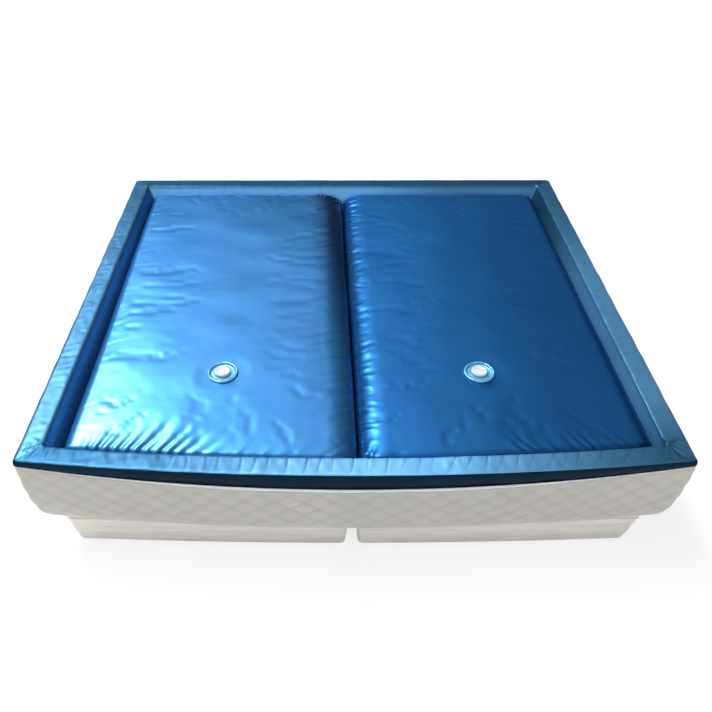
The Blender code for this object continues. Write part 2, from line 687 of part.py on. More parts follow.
def make_floor_pad_and_heaters():
    inset = COVER_TUCK_INSET + COVER_THICKNESS + RAIL_COVER_CLEARANCE
    points = mattress_outline(inset, LINER_CORNER_RADIUS)
    shape = lidded_stack([level(points, PAD_FOOT_Z), level(points, PAD_TOP_Z)])
    pad = add_object("foam_floor_pad", mesh_from("foam_floor_pad", shape), "rail_foam")
    for word, side in SIDES.items():
        heater, block = heater_spans(side)
        pieces = (("heater_pad_" + word, heater, HEATER_THICKNESS),
                  ("heater_lead_block_" + word, block, LEAD_BLOCK_HEIGHT))
        for name, (low, high), height in pieces:
            add_object(name, boxes(name, [((*low, PAD_TOP_Z - height), (*high, PAD_TOP_Z))]), "heater_pad")
            clear = HEATER_POCKET_CLEARANCE
            pocket = boxes(name + "_pocket", [
                ((low[0] - clear, low[1] - clear, PAD_TOP_Z - height - SEAT_GAP),
                 (high[0] + clear, high[1] + clear, PAD_TOP_Z + CUT_OVERRUN))])
            combine(pad, add_cutter(name + "_pocket", pocket))


def make_divider():
    """Foam wedge between the cores, under the groove where they meet."""
    front = FRONT_Y - FRONT_BULGE + RAIL_FOOT_INSET + DIVIDER_END_CLEARANCE
    rear = REAR_Y - RAIL_FOOT_INSET - DIVIDER_END_CLEARANCE
    loops = []
    for y in (front, rear):
        loops.append([(-DIVIDER_FOOT_WIDTH / 2, y, CORE_FLOOR_Z), (DIVIDER_FOOT_WIDTH / 2, y, CORE_FLOOR_Z),
                      (DIVIDER_TOP_WIDTH / 2, y, CORE_FLOOR_Z + DIVIDER_HEIGHT),
                      (-DIVIDER_TOP_WIDTH / 2, y, CORE_FLOOR_Z + DIVIDER_HEIGHT)])
    add_object("divider_wedge", mesh_from("divider_wedge", lidded_stack(loops)), "rail_foam")


# Safety liner: tub floor, leaning walls, rail tops and the flap outside
def liner_face_inset(height):
    return rail_inset(height - LINER_THICKNESS) + (LINER_THICKNESS + 2 * SEAT_GAP) * RAIL_LEAN_STRETCH


def make_liner():
    wall_top_z = RAIL_TOP_HEIGHT - LINER_INNER_ROUND
    section = (
        (liner_face_inset(LINER_TOP_Z), LINER_TOP_Z),
        (liner_face_inset(wall_top_z), wall_top_z),
        (RAIL_TOP_INSET - LINER_INNER_ROUND, RAIL_TOP_HEIGHT),
        (LINER_EDGE_ROUND, RAIL_TOP_HEIGHT),
        (LINER_EDGE_ROUND * LINER_EDGE_ROUND_SHARE,
         RAIL_TOP_HEIGHT - LINER_EDGE_ROUND * LINER_EDGE_ROUND_SHARE),
        (ZIP_TAPE_INSET, RAIL_TOP_HEIGHT - LINER_EDGE_ROUND),
        (LINER_FLAP_INSET, None),
    )
    loops = []
    for inset, height in section:
        points = mattress_outline(inset, corner_radius(inset))
        if height is None:
            loops.append([(x, y, zip_height(x, y) - LINER_TUCK_BEHIND_TAPE) for x, y in points])
        else:
            loops.append(level(points, height))
    shape = bmesh.new()
    shape.faces.new(stacked_loops(shape, loops)[0])
    liner = add_object("liner", mesh_from("liner", shape), "liner_vinyl")
    solidify(liner, LINER_THICKNESS)


# Water cores
def core_lines(length, step_count):
    """Cage lines along one side: close at both ends, even between."""
    bands = [0.0, CORE_RIM_BAND, CORE_RISE_BAND, CORE_CROWN_BAND]
    middle = length - 2 * CORE_CROWN_BAND
    between = [CORE_CROWN_BAND + middle * step / step_count for step in range(1, step_count)]
    return bands + between + [length - band for band in reversed(bands)]


def core_cage(side, inset, coarse):
    """The cage of one core: flat underneath, leaning sides, a crowned top."""
    foot_out = RAIL_FOOT_INSET + (LINER_THICKNESS + CORE_FOOT_CLEARANCE) * RAIL_LEAN_STRETCH + inset
    shoulder_z = RAIL_TOP_HEIGHT - CORE_SHOULDER_DROP - inset
    shoulder_out = liner_face_inset(shoulder_z) + CORE_FOOT_CLEARANCE - CORE_RAIL_SWELL + inset
    foot_z = CORE_FLOOR_Z + inset
    crown_z = CORE_CROWN_Z - inset
    rise_z = RAIL_TOP_HEIGHT - CORE_RISE_DROP - inset
    foot_mid = DIVIDER_FOOT_WIDTH / 2 + CORE_FOOT_LOOP / 2 + inset
    shoulder_mid = CORE_FOOT_CLEARANCE - CORE_MIDDLE_SWELL + inset

    def plan(out, mid, share_x, share_y, draw):
        near = side * mid
        far = side * (HALF_WIDTH - out)
        x = near + (far - near) * share_x
        front = FRONT_Y + out - front_bow(x, FRONT_BULGE)
        rear = REAR_Y - out
        bend_x = draw * math.sin(math.pi * share_y)
        bend_y = draw * math.sin(math.pi * share_x)
        x += side * bend_x * (1 - 2 * share_x)
        y = front + (rear - front) * share_y + bend_y * (1 - 2 * share_y)
        return x, y

    width = HALF_WIDTH - shoulder_out - shoulder_mid
    length = MATTRESS_LENGTH - 2 * shoulder_out
    lines_x = core_lines(width, 2)
    lines_y = core_lines(length, 2)
    if coarse:
        lines_x = lines_x[:1] + lines_x[2:-2] + lines_x[-1:]
        lines_y = lines_y[:1] + lines_y[2:-2] + lines_y[-1:]
    shares_x = [line / width for line in lines_x]
    shares_y = [line / length for line in lines_y]

    def top_z(row, column):
        ring = min(row, column, len(shares_y) - 1 - row, len(shares_x) - 1 - column)
        if ring == 0:
            return shoulder_z
        return rise_z if ring == 1 and not coarse else crown_z

    shape = bmesh.new()
    grid = [[shape.verts.new((*plan(shoulder_out, shoulder_mid, share_x, share_y, CORE_DRAW_IN),
                              top_z(row, column)))
             for column, share_x in enumerate(shares_x)] for row, share_y in enumerate(shares_y)]
    for row in range(len(grid) - 1):
        for column in range(len(grid[0]) - 1):
            shape.faces.new((grid[row][column], grid[row][column + 1],
                             grid[row + 1][column + 1], grid[row + 1][column]))
    edge_shares = [(share, 0.0) for share in shares_x[:-1]]
    edge_shares += [(1.0, share) for share in shares_y[:-1]]
    edge_shares += [(share, 1.0) for share in reversed(shares_x[1:])]
    edge_shares += [(0.0, share) for share in reversed(shares_y[1:])]
    rim = grid[0][:-1] + [row[-1] for row in grid[:-1]]
    rim += list(reversed(grid[-1][1:])) + [row[0] for row in reversed(grid[1:])]
    for tuck in (0.0, CORE_FOOT_LOOP):
        points = [plan(foot_out + tuck, foot_mid + tuck, share_x, share_y, 0.0)
                  for share_x, share_y in edge_shares]
        rim = grow_ring(shape, rim, level(points, foot_z))
    shape.faces.new(rim)
    return shape


def make_core(word, side):
    name = "core_bladder_" + word
    bladder = add_object(name, mesh_from(name, core_cage(side, 0.0, False)), "core_vinyl", SMOOTH_ANGLE)
    subdivide(bladder, 1)
    solidify(bladder, CORE_WALL)
    valve = (side * VALVE_SIDE_DISTANCE, VALVE_Y)
    hole = cylinders("valve_hole_" + word, [
        ((*valve, CORE_CROWN_Z - CORE_WALL - CUT_OVERRUN), (*valve, CORE_CROWN_Z + CUT_OVERRUN),
         NECK_RADIUS + NECK_HOLE_CLEARANCE)], TURNED_STEPS)
    combine(bladder, add_cutter("valve_hole_" + word, hole))

    name = "core_water_" + word
    inset = CORE_WALL + WATER_CLEARANCE
    water = add_object(name, mesh_from(name, core_cage(side, inset, True)), "water", SMOOTH_ANGLE)
    subdivide(water, 1)
    well = cylinders("valve_well_" + word, [
        ((*valve, VALVE_Z - NECK_DEPTH - CORE_FOOT_CLEARANCE), (*valve, CORE_CROWN_Z + CUT_OVERRUN),
         NECK_RADIUS + NECK_HOLE_CLEARANCE)], SMALL_STEPS)
    combine(water, add_cutter("valve_well_" + word, well))

    near = DIVIDER_FOOT_WIDTH / 2 + FLEECE_MARGIN
    far = HALF_WIDTH - RAIL_FOOT_INSET - FLEECE_MARGIN
    low_x, high_x = sorted((side * near, side * far))
    front = FRONT_Y + RAIL_FOOT_INSET + FLEECE_MARGIN
    rear = REAR_Y - RAIL_FOOT_INSET - FLEECE_MARGIN
    floor_z = CORE_FLOOR_Z + CORE_WALL + FLEECE_CLEARANCE
    name = "core_fleece_" + word
    top_z = floor_z + FLEECE_THICKNESS
    loops = []
    for inset, height in ((FLEECE_EDGE_INSET, floor_z), (0.0, floor_z + FLEECE_EDGE_HEIGHT), (0.0, top_z)):
        x0, x1, y0, y1 = low_x + inset, high_x - inset, front + inset, rear - inset
        loops.append(level([(x0, y0), (x1, y0), (x1, y1), (x0, y1)], height))
    add_object(name, mesh_from(name, lidded_stack(loops)), "fleece")
    pocket = boxes("fleece_pocket_" + word, [
        ((low_x - SEAT_GAP, front - SEAT_GAP, CORE_FLOOR_Z - CUT_OVERRUN),
         (high_x + SEAT_GAP, rear + SEAT_GAP, top_z + SEAT_GAP))])
    combine(water, add_cutter("fleece_pocket_" + word, pocket))


# Filling valves: heights are taken from the flange's underside
def place_valve_piece(piece, side):
    piece.location = (side * VALVE_SIDE_DISTANCE, VALVE_Y, VALVE_Z)


def make_valve(word, side):
    rim_in = FLANGE_RADIUS - FLANGE_RIM_WIDTH
    rim_chamfer = FLANGE_RIM_HEIGHT - FLANGE_THICKNESS
    ledge_top = -NECK_DEPTH + LEDGE_THICKNESS
    neck = turned("valve_neck_" + word, (
        (BORE_RADIUS, NECK_HEIGHT), (NECK_RADIUS, NECK_HEIGHT), (NECK_RADIUS, FLANGE_THICKNESS),
        (rim_in - rim_chamfer / 2, FLANGE_THICKNESS), (rim_in, FLANGE_RIM_HEIGHT),
        (FLANGE_RADIUS - rim_chamfer / 2, FLANGE_RIM_HEIGHT), (FLANGE_RADIUS, FLANGE_THICKNESS),
        (FLANGE_RADIUS, 0), (NECK_RADIUS, 0), (NECK_RADIUS, -NECK_DEPTH), (LEDGE_RADIUS, -NECK_DEPTH),
        (LEDGE_RADIUS, ledge_top), (BORE_RADIUS, ledge_top)), TURNED_STEPS, "valve_vinyl", closed=True)
    plug_foot = ledge_top + SEAT_GAP
    plug_top = plug_foot + PLUG_BODY_HEIGHT
    plug_radius = BORE_RADIUS - PLUG_CLEARANCE
    plug = turned("valve_plug_" + word, (
        (0, plug_top + PLUG_KNOB_HEIGHT), (PLUG_KNOB_RADIUS, plug_top + PLUG_KNOB_HEIGHT),
        (PLUG_KNOB_RADIUS, plug_top), (plug_radius, plug_top), (plug_radius, plug_foot),
        (0, plug_foot)), TURNED_STEPS, "valve_cap")
    seal_foot = NECK_HEIGHT + SEAT_GAP
    seal = turned("valve_seal_" + word, (
        (NECK_RADIUS - SEAL_WIDTH, seal_foot + SEAL_THICKNESS), (NECK_RADIUS, seal_foot + SEAL_THICKNESS),
        (NECK_RADIUS, seal_foot), (NECK_RADIUS - SEAL_WIDTH, seal_foot)),
        TURNED_STEPS, "seal_rubber", closed=True)
    under = seal_foot + SEAL_THICKNESS + SEAT_GAP
    top = under + CAP_TOP_THICKNESS
    skirt_radius = NECK_RADIUS + CAP_THREAD_CLEARANCE
    cap = turned("valve_cap_" + word, (
        (0, top), (CAP_RADIUS - CAP_EDGE_ROUND, top), (CAP_RADIUS, top - CAP_EDGE_ROUND),
        (CAP_RADIUS, CAP_SKIRT_LIFT), (skirt_radius, CAP_SKIRT_LIFT), (skirt_radius, under),
        (0, under)), TURNED_STEPS, "valve_cap")
    for piece in (neck, plug, seal, cap):
        place_valve_piece(piece, side)
    centre = Vector((side * VALVE_SIDE_DISTANCE, VALVE_Y, VALVE_Z))
    dimples = []
    for way in (-1, 1):
        foot = centre + Vector((way * CAP_DIMPLE_DISTANCE, 0, top - CAP_DIMPLE_DEPTH))
        dimples.append((foot, foot + Vector((0, 0, CUT_OVERRUN)), CAP_DIMPLE_RADIUS))
    combine(cap, add_cutter("cap_dimples_" + word, cylinders("cap_dimples_" + word, dimples, SMALL_STEPS)))


def main():
    make_cover()
    make_zip_tape()
    make_zip_slider()
    make_floor_pad_and_heaters()
    make_rails()
    make_divider()
    make_liner()
    for word, side in SIDES.items():
        make_base_frame(word, side)
        make_deck(word, side)
        make_skirt(word, side)
        make_wadding(word, side)
        make_glides(word, side)
        make_core(word, side)
        make_valve(word, side)


clear_scene()
PARTS = new_collection("waterbed")
CUTTERS = new_collection("cutters")
main()
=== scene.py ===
"""Softside waterbed: looks of the vinyl cores, liner, quilted cover and base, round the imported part."""
import math

import bpy
import numpy as np
from bpy.props import FloatProperty, FloatVectorProperty, IntProperty, PointerProperty
from mathutils import Matrix, Vector


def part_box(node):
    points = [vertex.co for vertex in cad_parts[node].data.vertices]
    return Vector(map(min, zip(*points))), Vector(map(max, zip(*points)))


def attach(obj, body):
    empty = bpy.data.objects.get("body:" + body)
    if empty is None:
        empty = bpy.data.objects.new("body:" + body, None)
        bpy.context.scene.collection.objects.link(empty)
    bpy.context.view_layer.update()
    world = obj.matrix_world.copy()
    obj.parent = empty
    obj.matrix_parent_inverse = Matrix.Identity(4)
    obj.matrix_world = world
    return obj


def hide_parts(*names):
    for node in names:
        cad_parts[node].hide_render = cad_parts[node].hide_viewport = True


bl_info = {
    "name": "Softside Waterbed",
    "version": (1, 0, 0),
    "blender": (4, 5, 0),
    "location": "View3D > Sidebar > Waterbed",
    "description": "Vinyl cores, liner, quilted cover, zip and base of a softside waterbed",
    "category": "Object",
}

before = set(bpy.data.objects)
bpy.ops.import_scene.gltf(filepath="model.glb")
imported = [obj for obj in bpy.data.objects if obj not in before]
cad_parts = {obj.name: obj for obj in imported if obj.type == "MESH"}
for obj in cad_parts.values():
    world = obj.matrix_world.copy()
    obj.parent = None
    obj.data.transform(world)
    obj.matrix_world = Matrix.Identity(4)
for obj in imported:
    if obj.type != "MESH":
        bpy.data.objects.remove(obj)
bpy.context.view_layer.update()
SIDES = (("left", -1), ("right", 1))

# Plan of the mattress, from the part
HALF_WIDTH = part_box("cover_lower")[1].x
REAR_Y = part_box("zip_tape")[1].y
FRONT_BULGE = 0.062
CORNER = 0.014
FRONT_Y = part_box("zip_tape")[0].y + FRONT_BULGE
RAIL_TOP_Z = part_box("liner")[1].z
TUB_FLOOR_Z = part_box("liner")[0].z
COVER_FOOT_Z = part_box("cover_lower")[0].z
BASE_TOP_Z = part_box("base_skirt_left")[1].z
BASE_HEM_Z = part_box("base_skirt_left")[0].z
SEAM_Z = BASE_TOP_Z - 0.014
VALVE_PLACES = {word: (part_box("valve_cap_" + word)[0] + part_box("valve_cap_" + word)[1]) / 2
                for word, _ in SIDES}
VALVE_FOOT_Z = 0.4573
PLAN_MIDDLE = np.array([0.0, 0.028])
FRONT_RUN = 2.14
SIDE_RUN = 1.94

# Zip round the mattress
ZIP_DROP = 0.022
ZIP_FRONT_SAG = 0.043
ZIP_REAR_DROP = 0.023
ZIP_DROP_RUN = 1.84
ZIP_FRONT_ZONE = 0.030
TAPE_SHOWN = 0.0142
LEAST_TAPE = 0.18
SLIDER_STOP_X = 0.96
SLIDER_ROOM = 0.0085
ZIP_INSET = 0.0004
ZIP_COUNTS = (240, 220, 8)
TOOTH_SHARE = 0.27
TOOTH_LEVELS = ((-0.0030, 1.0), (-0.0004, 1.15), (0.0012, 0.8))
TOOTH_OUT = 0.0006
TOOTH_IN = -0.0034


# Numbers and curves
def smooth_step(low, high, values):
    share = np.clip((values - low) / (high - low), 0.0, 1.0)
    return share * share * (3 - 2 * share)


def front_bow(x, bow=FRONT_BULGE):
    return bow * (1 - (x / HALF_WIDTH) ** 2)


def closed_outline(low, high, radius, bow, counts):
    """A rounded rectangle, anticlockwise from its front left, its front bowed out."""
    (x0, y0), (x1, y1) = low, high
    front, side, corner = counts
    runs = (
        ((x0 + radius, y0), (x1 - radius, y0), front, -math.pi / 2, (x1 - radius, y0 + radius)),
        ((x1, y0 + radius), (x1, y1 - radius), side, 0.0, (x1 - radius, y1 - radius)),
        ((x1 - radius, y1), (x0 + radius, y1), front, math.pi / 2, (x0 + radius, y1 - radius)),
        ((x0, y1 - radius), (x0, y0 + radius), side, math.pi, (x0 + radius, y0 + radius)),
    )
    points = []
    for start, end, steps, angle, centre in runs:
        share = np.arange(steps)[:, None] / steps
        points.append(np.array(start) + (np.array(end) - np.array(start)) * share)
        turn = angle + math.pi / 2 * np.arange(corner) / corner
        points.append(np.array(centre) + radius * np.column_stack((np.cos(turn), np.sin(turn))))
    points = np.vstack(points)
    middle = (y0 + y1) / 2
    depth = np.clip((middle - points[:, 1]) / (middle - y0), 0.0, 1.0)
    points[:, 1] -= front_bow(points[:, 0], bow) * depth
    return points


def ring_counts(pitch, corner=8):
    """Steps along the front, a side and a corner of a ring whose points lie about a pitch apart."""
    return round(FRONT_RUN / pitch), round(SIDE_RUN / pitch), corner


def mattress_ring(inset, radius, counts):
    """The mattress's plan, an inset in from its edge."""
    low = (-HALF_WIDTH + inset, FRONT_Y + inset)
    high = (HALF_WIDTH - inset, REAR_Y - inset)
    return closed_outline(low, high, radius, FRONT_BULGE, counts)


def run_length(points):
    """Distance along a closed ring to each of its points, and once round it."""
    steps = np.linalg.norm(np.roll(points, -1, 0) - points, axis=1)
    return np.concatenate(([0.0], np.cumsum(steps)[:-1])), steps.sum()


def zip_height(x, y):
    """Height of the zip's top edge: it sags along the front and climbs to its corners."""
    sag = ZIP_FRONT_SAG * np.maximum(0.0, 1 - (x / HALF_WIDTH) ** 2)
    drop = ZIP_REAR_DROP * np.clip((y - FRONT_Y) / ZIP_DROP_RUN, 0.0, 1.0)
    return RAIL_TOP_Z - ZIP_DROP - np.where(y < FRONT_Y + ZIP_FRONT_ZONE, sag, drop)


def tape_share(x, y):
    """Share of the zip's tape that shows: most in the front's middle and at the rear."""
    front = LEAST_TAPE + 0.64 * (1 - smooth_step(0.35, 0.95, np.abs(x)))
    behind = LEAST_TAPE + 0.82 * smooth_step(FRONT_Y, FRONT_Y + 1.2, y)
    return np.where(y < FRONT_Y + ZIP_FRONT_ZONE, front, behind)


def plane_waves(seed, points, count, shortest, longest):
    """A smooth uneven field from seeded waves, mostly from -1 to 1."""
    pick = np.random.default_rng(seed)
    field = np.zeros(len(points))
    for _ in range(count):
        length = math.exp(pick.uniform(math.log(shortest), math.log(longest)))
        turn = pick.uniform(0, 2 * math.pi)
        way = np.array([math.cos(turn), math.sin(turn)])
        field += np.sin(2 * math.pi * (points @ way) / length + pick.uniform(0, 2 * math.pi))
    return field / math.sqrt(count)


def fold_crest(ratio):
    """Height across a slack fold: a slow climb on its left, a steep drop into a valley on its right."""
    climb = np.where(ratio > 0, 1.45, 0.95)
    return np.exp(-(ratio / climb) ** 2) - 0.40 * np.exp(-((ratio + 1.75) / 0.85) ** 2)


def fold_valley(ratio):
    """Share of the valley at a slack fold's steep side."""
    return np.exp(-((ratio + 1.40) / 0.75) ** 2)


def even_fold(ratio):
    return np.exp(-ratio ** 2)


def fold_field(points, folds, section=fold_crest):
    """Summed section of tapered folds, each (start, end, width, height, bend)."""
    total = np.zeros(len(points))
    for start, end, width, height, bend in folds:
        start = np.array(start)
        axis = np.array(end) - start
        length = np.linalg.norm(axis)
        axis /= length
        offset = points - start
        along = (offset @ axis) / length
        near = (along > -0.4) & (along < 1.05)
        share = along[near]
        inside = np.clip(share, 0.0, 1.0)
        across = offset[near] @ np.array([-axis[1], axis[0]])
        across = across - bend * length * 4 * inside * (1 - inside)
        taper = (1 - inside) ** 1.1 * np.clip((share + 0.4) / 0.4, 0.0, 1.0)
        total[near] += height * taper * section(across / (width * (0.7 + 0.7 * inside)))
    return total


def fan(seed, places, leans, lengths, widths, heights, bends=(0.0, 0.0)):
    """Folds that start at places and lean by degrees from +Y, each value picked in its range."""
    pick = np.random.default_rng(seed)
    folds = []
    for place in places:
        lean = math.radians(pick.uniform(*leans))
        length = pick.uniform(*lengths)
        end = (place[0] + length * math.sin(lean), place[1] + length * math.cos(lean))
        folds.append((place, end, pick.uniform(*widths), pick.uniform(*heights), pick.uniform(*bends)))
    return folds


def places_along(seed, start, end, pitch):
    """Points between two others, a pitch apart with some jitter."""
    pick = np.random.default_rng(seed)
    start, end = np.array(start), np.array(end)
    count = max(2, round(np.linalg.norm(end - start) / pitch))
    shares = (np.arange(count) + pick.uniform(-0.32, 0.32, count)) / (count - 1)
    return [tuple(start + (end - start) * share) for share in np.clip(shares, 0, 1)]


def resample(values, at, to):
    """Smooth curve through rows of values known at places, read at other places."""
    index = np.clip(np.searchsorted(at, to, side="right") - 1, 0, len(at) - 2)
    step = (at[index + 1] - at[index])[:, None]
    share = (to - at[index])[:, None] / step
    slope = np.gradient(values, at, axis=0)
    rise = share * share * (3 - 2 * share)
    lead = share * (1 - share) ** 2 * step
    trail = share * share * (share - 1) * step
    return (values[index] * (1 - rise) + values[index + 1] * rise
            + slope[index] * lead + slope[index + 1] * trail)


# Meshes
def corner_faces(corners):
    """Faces from four grids with the number of each face's corners."""
    return list(map(tuple, np.stack(corners, -1).reshape(-1, 4)))


def band_faces(rows, count, inward, closed=False):
    """Faces between rings that go up and in, or down an outer side; closed joins the last to the first."""
    row = np.arange(rows if closed else rows - 1)[:, None]
    here = np.arange(count)[None, :]
    following, above = (here + 1) % count, (row + 1) % rows
    corners = [row * count + here, row * count + following, above * count + following, above * count + here]
    if not inward:
        corners.reverse()
    return corner_faces(corners)


def at_level(plan, height):
    """Points of a plan at one height, or at a height each."""
    return np.column_stack((plan, np.broadcast_to(height, len(plan))))


def ring_face(row, count):
    """One face over a whole ring."""
    return tuple(row * count + np.arange(count))


def grid_faces(rows, columns):
    row = np.arange(rows - 1)[:, None]
    here = np.arange(columns - 1)[None, :]
    return corner_faces([row * columns + here, row * columns + here + 1,
                         (row + 1) * columns + here + 1, (row + 1) * columns + here])


def build_mesh(name, points, faces):
    mesh = bpy.data.meshes.new(name)
    mesh.from_pydata(np.asarray(points).tolist(), [], [list(map(int, face)) for face in faces])
    mesh.update()
    mesh.shade_smooth()
    return mesh


def build_piece(name, points, faces, finish, body="bed"):
    """A named object that rides on a body and wears a finish."""
    piece = bpy.data.objects.new(name, build_mesh(name, points, faces))
    bpy.context.scene.collection.objects.link(piece)
    piece.data.materials.append(finish)
    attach(piece, body)
    return piece


def add_field(mesh, name, values, kind="FLOAT"):
    """A named attribute on a mesh's points, for its material to read."""
    field = mesh.attributes.new(name, kind, "POINT")
    field.data.foreach_set("value" if kind == "FLOAT" else "vector", np.asarray(values, float).ravel())


def mesh_points(mesh):
    points = np.zeros(len(mesh.vertices) * 3)
    mesh.vertices.foreach_get("co", points)
    return points.reshape(-1, 3)


def mesh_normals(mesh):
    normals = np.zeros(len(mesh.vertices) * 3)
    mesh.vertices.foreach_get("normal", normals)
    return normals.reshape(-1, 3)


def move_points(mesh, points):
    mesh.vertices.foreach_set("co", np.asarray(points, float).ravel())
    mesh.update()


def apply_modifiers(piece):
    """Replaces a piece's mesh with what its modifiers make of it."""
    graph = bpy.context.evaluated_depsgraph_get()
    made = bpy.data.meshes.new_from_object(piece.evaluated_get(graph))
    old = piece.data
    piece.modifiers.clear()
    piece.data = made
    bpy.data.meshes.remove(old)


def lathe(profile, steps, centre):
    """Rings of points: a profile of (radius, height) turned about a vertical axis."""
    turn = 2 * math.pi * np.arange(steps) / steps
    circle = np.column_stack((np.cos(turn), np.sin(turn)))
    middle = np.array(centre[:2])
    return np.array([at_level(middle + radius * circle, centre[2] + z) for radius, z in profile])


def polar(rings, centre):
    """Offsets of rings from a vertical axis, their lengths and their turns."""
    offset = rings[:, :, :2] - np.array(centre[:2])
    return offset, np.linalg.norm(offset, axis=2), np.arctan2(offset[:, :, 1], offset[:, :, 0])


# Shader maths: numbers of the outputs that nodes are read from
WORLD_WAY = 0
OBJECT_PLACE = 3
FIELD_VECTOR = 1
FIELD_VALUE = 2
CAMERA_RAY = 0
GLOSSY_RAY = 3
THROUGH_RAY = 6


class Wire:
    """A socket of a node tree that takes part in sums: each operator adds its Math node."""

    def __init__(self, tree, socket):
        self.tree = tree
        self.socket = socket

    def maths(self, operation, first, second=0.0, clamp=False):
        node = self.tree.nodes.new("ShaderNodeMath")
        node.operation = operation
        node.use_clamp = clamp
        for socket, value in zip(node.inputs, (first, second)):
            if isinstance(value, Wire):
                self.tree.links.new(value.socket, socket)
            else:
                socket.default_value = value
        return Wire(self.tree, node.outputs[0])

    def __add__(self, other):
        return self.maths("ADD", self, other)

    __radd__ = __add__

    def __sub__(self, other):
        return self.maths("SUBTRACT", self, other)

    def __rsub__(self, other):
        return self.maths("SUBTRACT", other, self)

    def __mul__(self, other):
        return self.maths("MULTIPLY", self, other)

    __rmul__ = __mul__

    def __truediv__(self, other):
        return self.maths("DIVIDE", self, other)

    def __rtruediv__(self, other):
        return self.maths("DIVIDE", other, self)

    def __pow__(self, other):
        return self.maths("POWER", self, other)

    def __rpow__(self, other):
        return self.maths("POWER", other, self)

    def __lt__(self, other):
        return self.maths("LESS_THAN", self, other)

    def __gt__(self, other):
        return self.maths("GREATER_THAN", self, other)

    def __abs__(self):
        return self.maths("ABSOLUTE", self)

    def part(self):
        """What is left after the whole number."""
        return self.maths("FRACT", self)

    def clamped(self):
        return self.maths("ADD", self, 0.0, True)

    def positive(self):
        return self.maths("MAXIMUM", self, 0.0)

    def eased(self, low, high):
        """Smooth step from 0 at low to 1 at high."""
        share = ((self - low) / (high - low)).clamped()
        return share * share * (3.0 - 2.0 * share)


def opaque(colour):
    return colour if isinstance(colour, Wire) else (*colour, 1.0)


class Nodes:
    """Adds nodes to one tree."""

    def __init__(self, tree):
        self.tree = tree

    def node(self, kind, settings=None, sockets=None, output=0):
        """Any node: its settings first, then the values or links of its sockets."""
        node = self.tree.nodes.new(kind)
        for name, value in (settings or {}).items():
            setattr(node, name, value)
        for name, value in (sockets or {}).items():
            socket = node.inputs[name]
            if isinstance(value, Wire):
                self.tree.links.new(value.socket, socket)
            else:
                socket.default_value = value
        return Wire(self.tree, node.outputs[output])

    def place(self, scale=(1.0, 1.0, 1.0), turn=0.0):
        """Place on the object at rest, stretched or turned about Z."""
        here = self.node("ShaderNodeTexCoord", output=OBJECT_PLACE)
        return self.node("ShaderNodeMapping", {"vector_type": "POINT"},
                         {"Vector": here, "Scale": scale, "Rotation": (0.0, 0.0, turn)})

    def noise(self, size, detail=3.0, rough=0.5, stretch=(1.0, 1.0, 1.0), turn=0.0, warp=0.0):
        """Noise whose patches are about a size across, in metres."""
        return self.node("ShaderNodeTexNoise", None, {
            "Vector": self.place(stretch, turn), "Scale": 1.0 / size, "Detail": detail,
            "Roughness": rough, "Distortion": warp})

    def field(self, name, output=FIELD_VALUE):
        """A named attribute of the mesh."""
        return self.node("ShaderNodeAttribute", {"attribute_name": name}, output=output)

    def mixed(self, factor, first, second):
        """Colour that goes from the first to the second, through the Mix node's colour sockets."""
        sockets = {0: factor, 6: opaque(first), 7: opaque(second)}
        return self.node("ShaderNodeMix", {"data_type": "RGBA"}, sockets, 2)

    def shades(self, factor, colour, low, high=1.0):
        """A colour that goes from one share of itself to another."""
        return self.mixed(factor, tinted(colour, low), tinted(colour, high))

    def split(self, vector):
        """The three parts of a vector."""
        first = self.node("ShaderNodeSeparateXYZ", None, {0: vector})
        return [Wire(self.tree, output) for output in first.socket.node.outputs]

    def bump(self, height, distance, strength=1.0, under=None):
        sockets = {"Height": height, "Distance": distance, "Strength": strength}
        if under is not None:
            sockets["Normal"] = under
        return self.node("ShaderNodeBump", None, sockets)


class Finish(Nodes):
    """A material under construction."""

    def __init__(self, name, **constants):
        self.material = bpy.data.materials.new(name)
        self.material.use_nodes = True
        super().__init__(self.material.node_tree)
        self.shader = self.tree.nodes["Principled BSDF"]
        for socket, value in constants.items():
            self.shader.inputs[socket.replace("_", " ").title().replace("Ior", "IOR")].default_value = value

    def wear(self, **links):
        """Links values to the shader's sockets and returns the material."""
        for socket, wire in links.items():
            self.tree.links.new(wire.socket, self.shader.inputs[socket.replace("_", " ")])
        return self.material


def tinted(colour, share):
    return tuple(min(1.0, max(0.0, part * share)) for part in colour)


# Finishes
def vinyl(name, colour, roughness=0.28, metallic=0.72, grain=1.0, shaded=False, coat=0.0,
          coat_roughness=0.24, specular=0.22):
    """Satin vinyl film: uneven tint, fine drag wrinkles and a slight leather emboss; with the shade field,
    painted shading darkens the tint toward a deep colour that stands in for shade.
    """
    look = Finish(name, metallic=metallic, roughness=roughness, specular_ior_level=specular, coat_weight=coat,
                  coat_roughness=coat_roughness, specular_tint=(0.22, 0.55, 1.0, 1.0))
    cloud = look.noise(0.34, 2.0, 0.45)
    tint = look.shades(cloud, colour, 0.86, 1.12)
    drag = look.noise(0.08, 2.0, 0.45, (1.0, 2.4, 1.0), 0.5)
    emboss = look.noise(0.0050, 1.0, 0.4)
    relief = look.bump(drag, 0.0012 * grain, 0.5)
    relief = look.bump(emboss, 0.00006 * grain, 0.30, relief)
    gloss = roughness + cloud * 0.03
    # Painted shading: the shade field mixes the tint toward a deep colour that stands in for shade, darkest
    # where the field is 0.
    if shaded:
        deep = (colour[0] * 0.02, colour[1] * 0.075, colour[2] * 0.09)
        tint = look.mixed(look.field("shade"), deep, tint)
    return look.wear(Base_Color=tint, Roughness=gloss, Normal=relief)


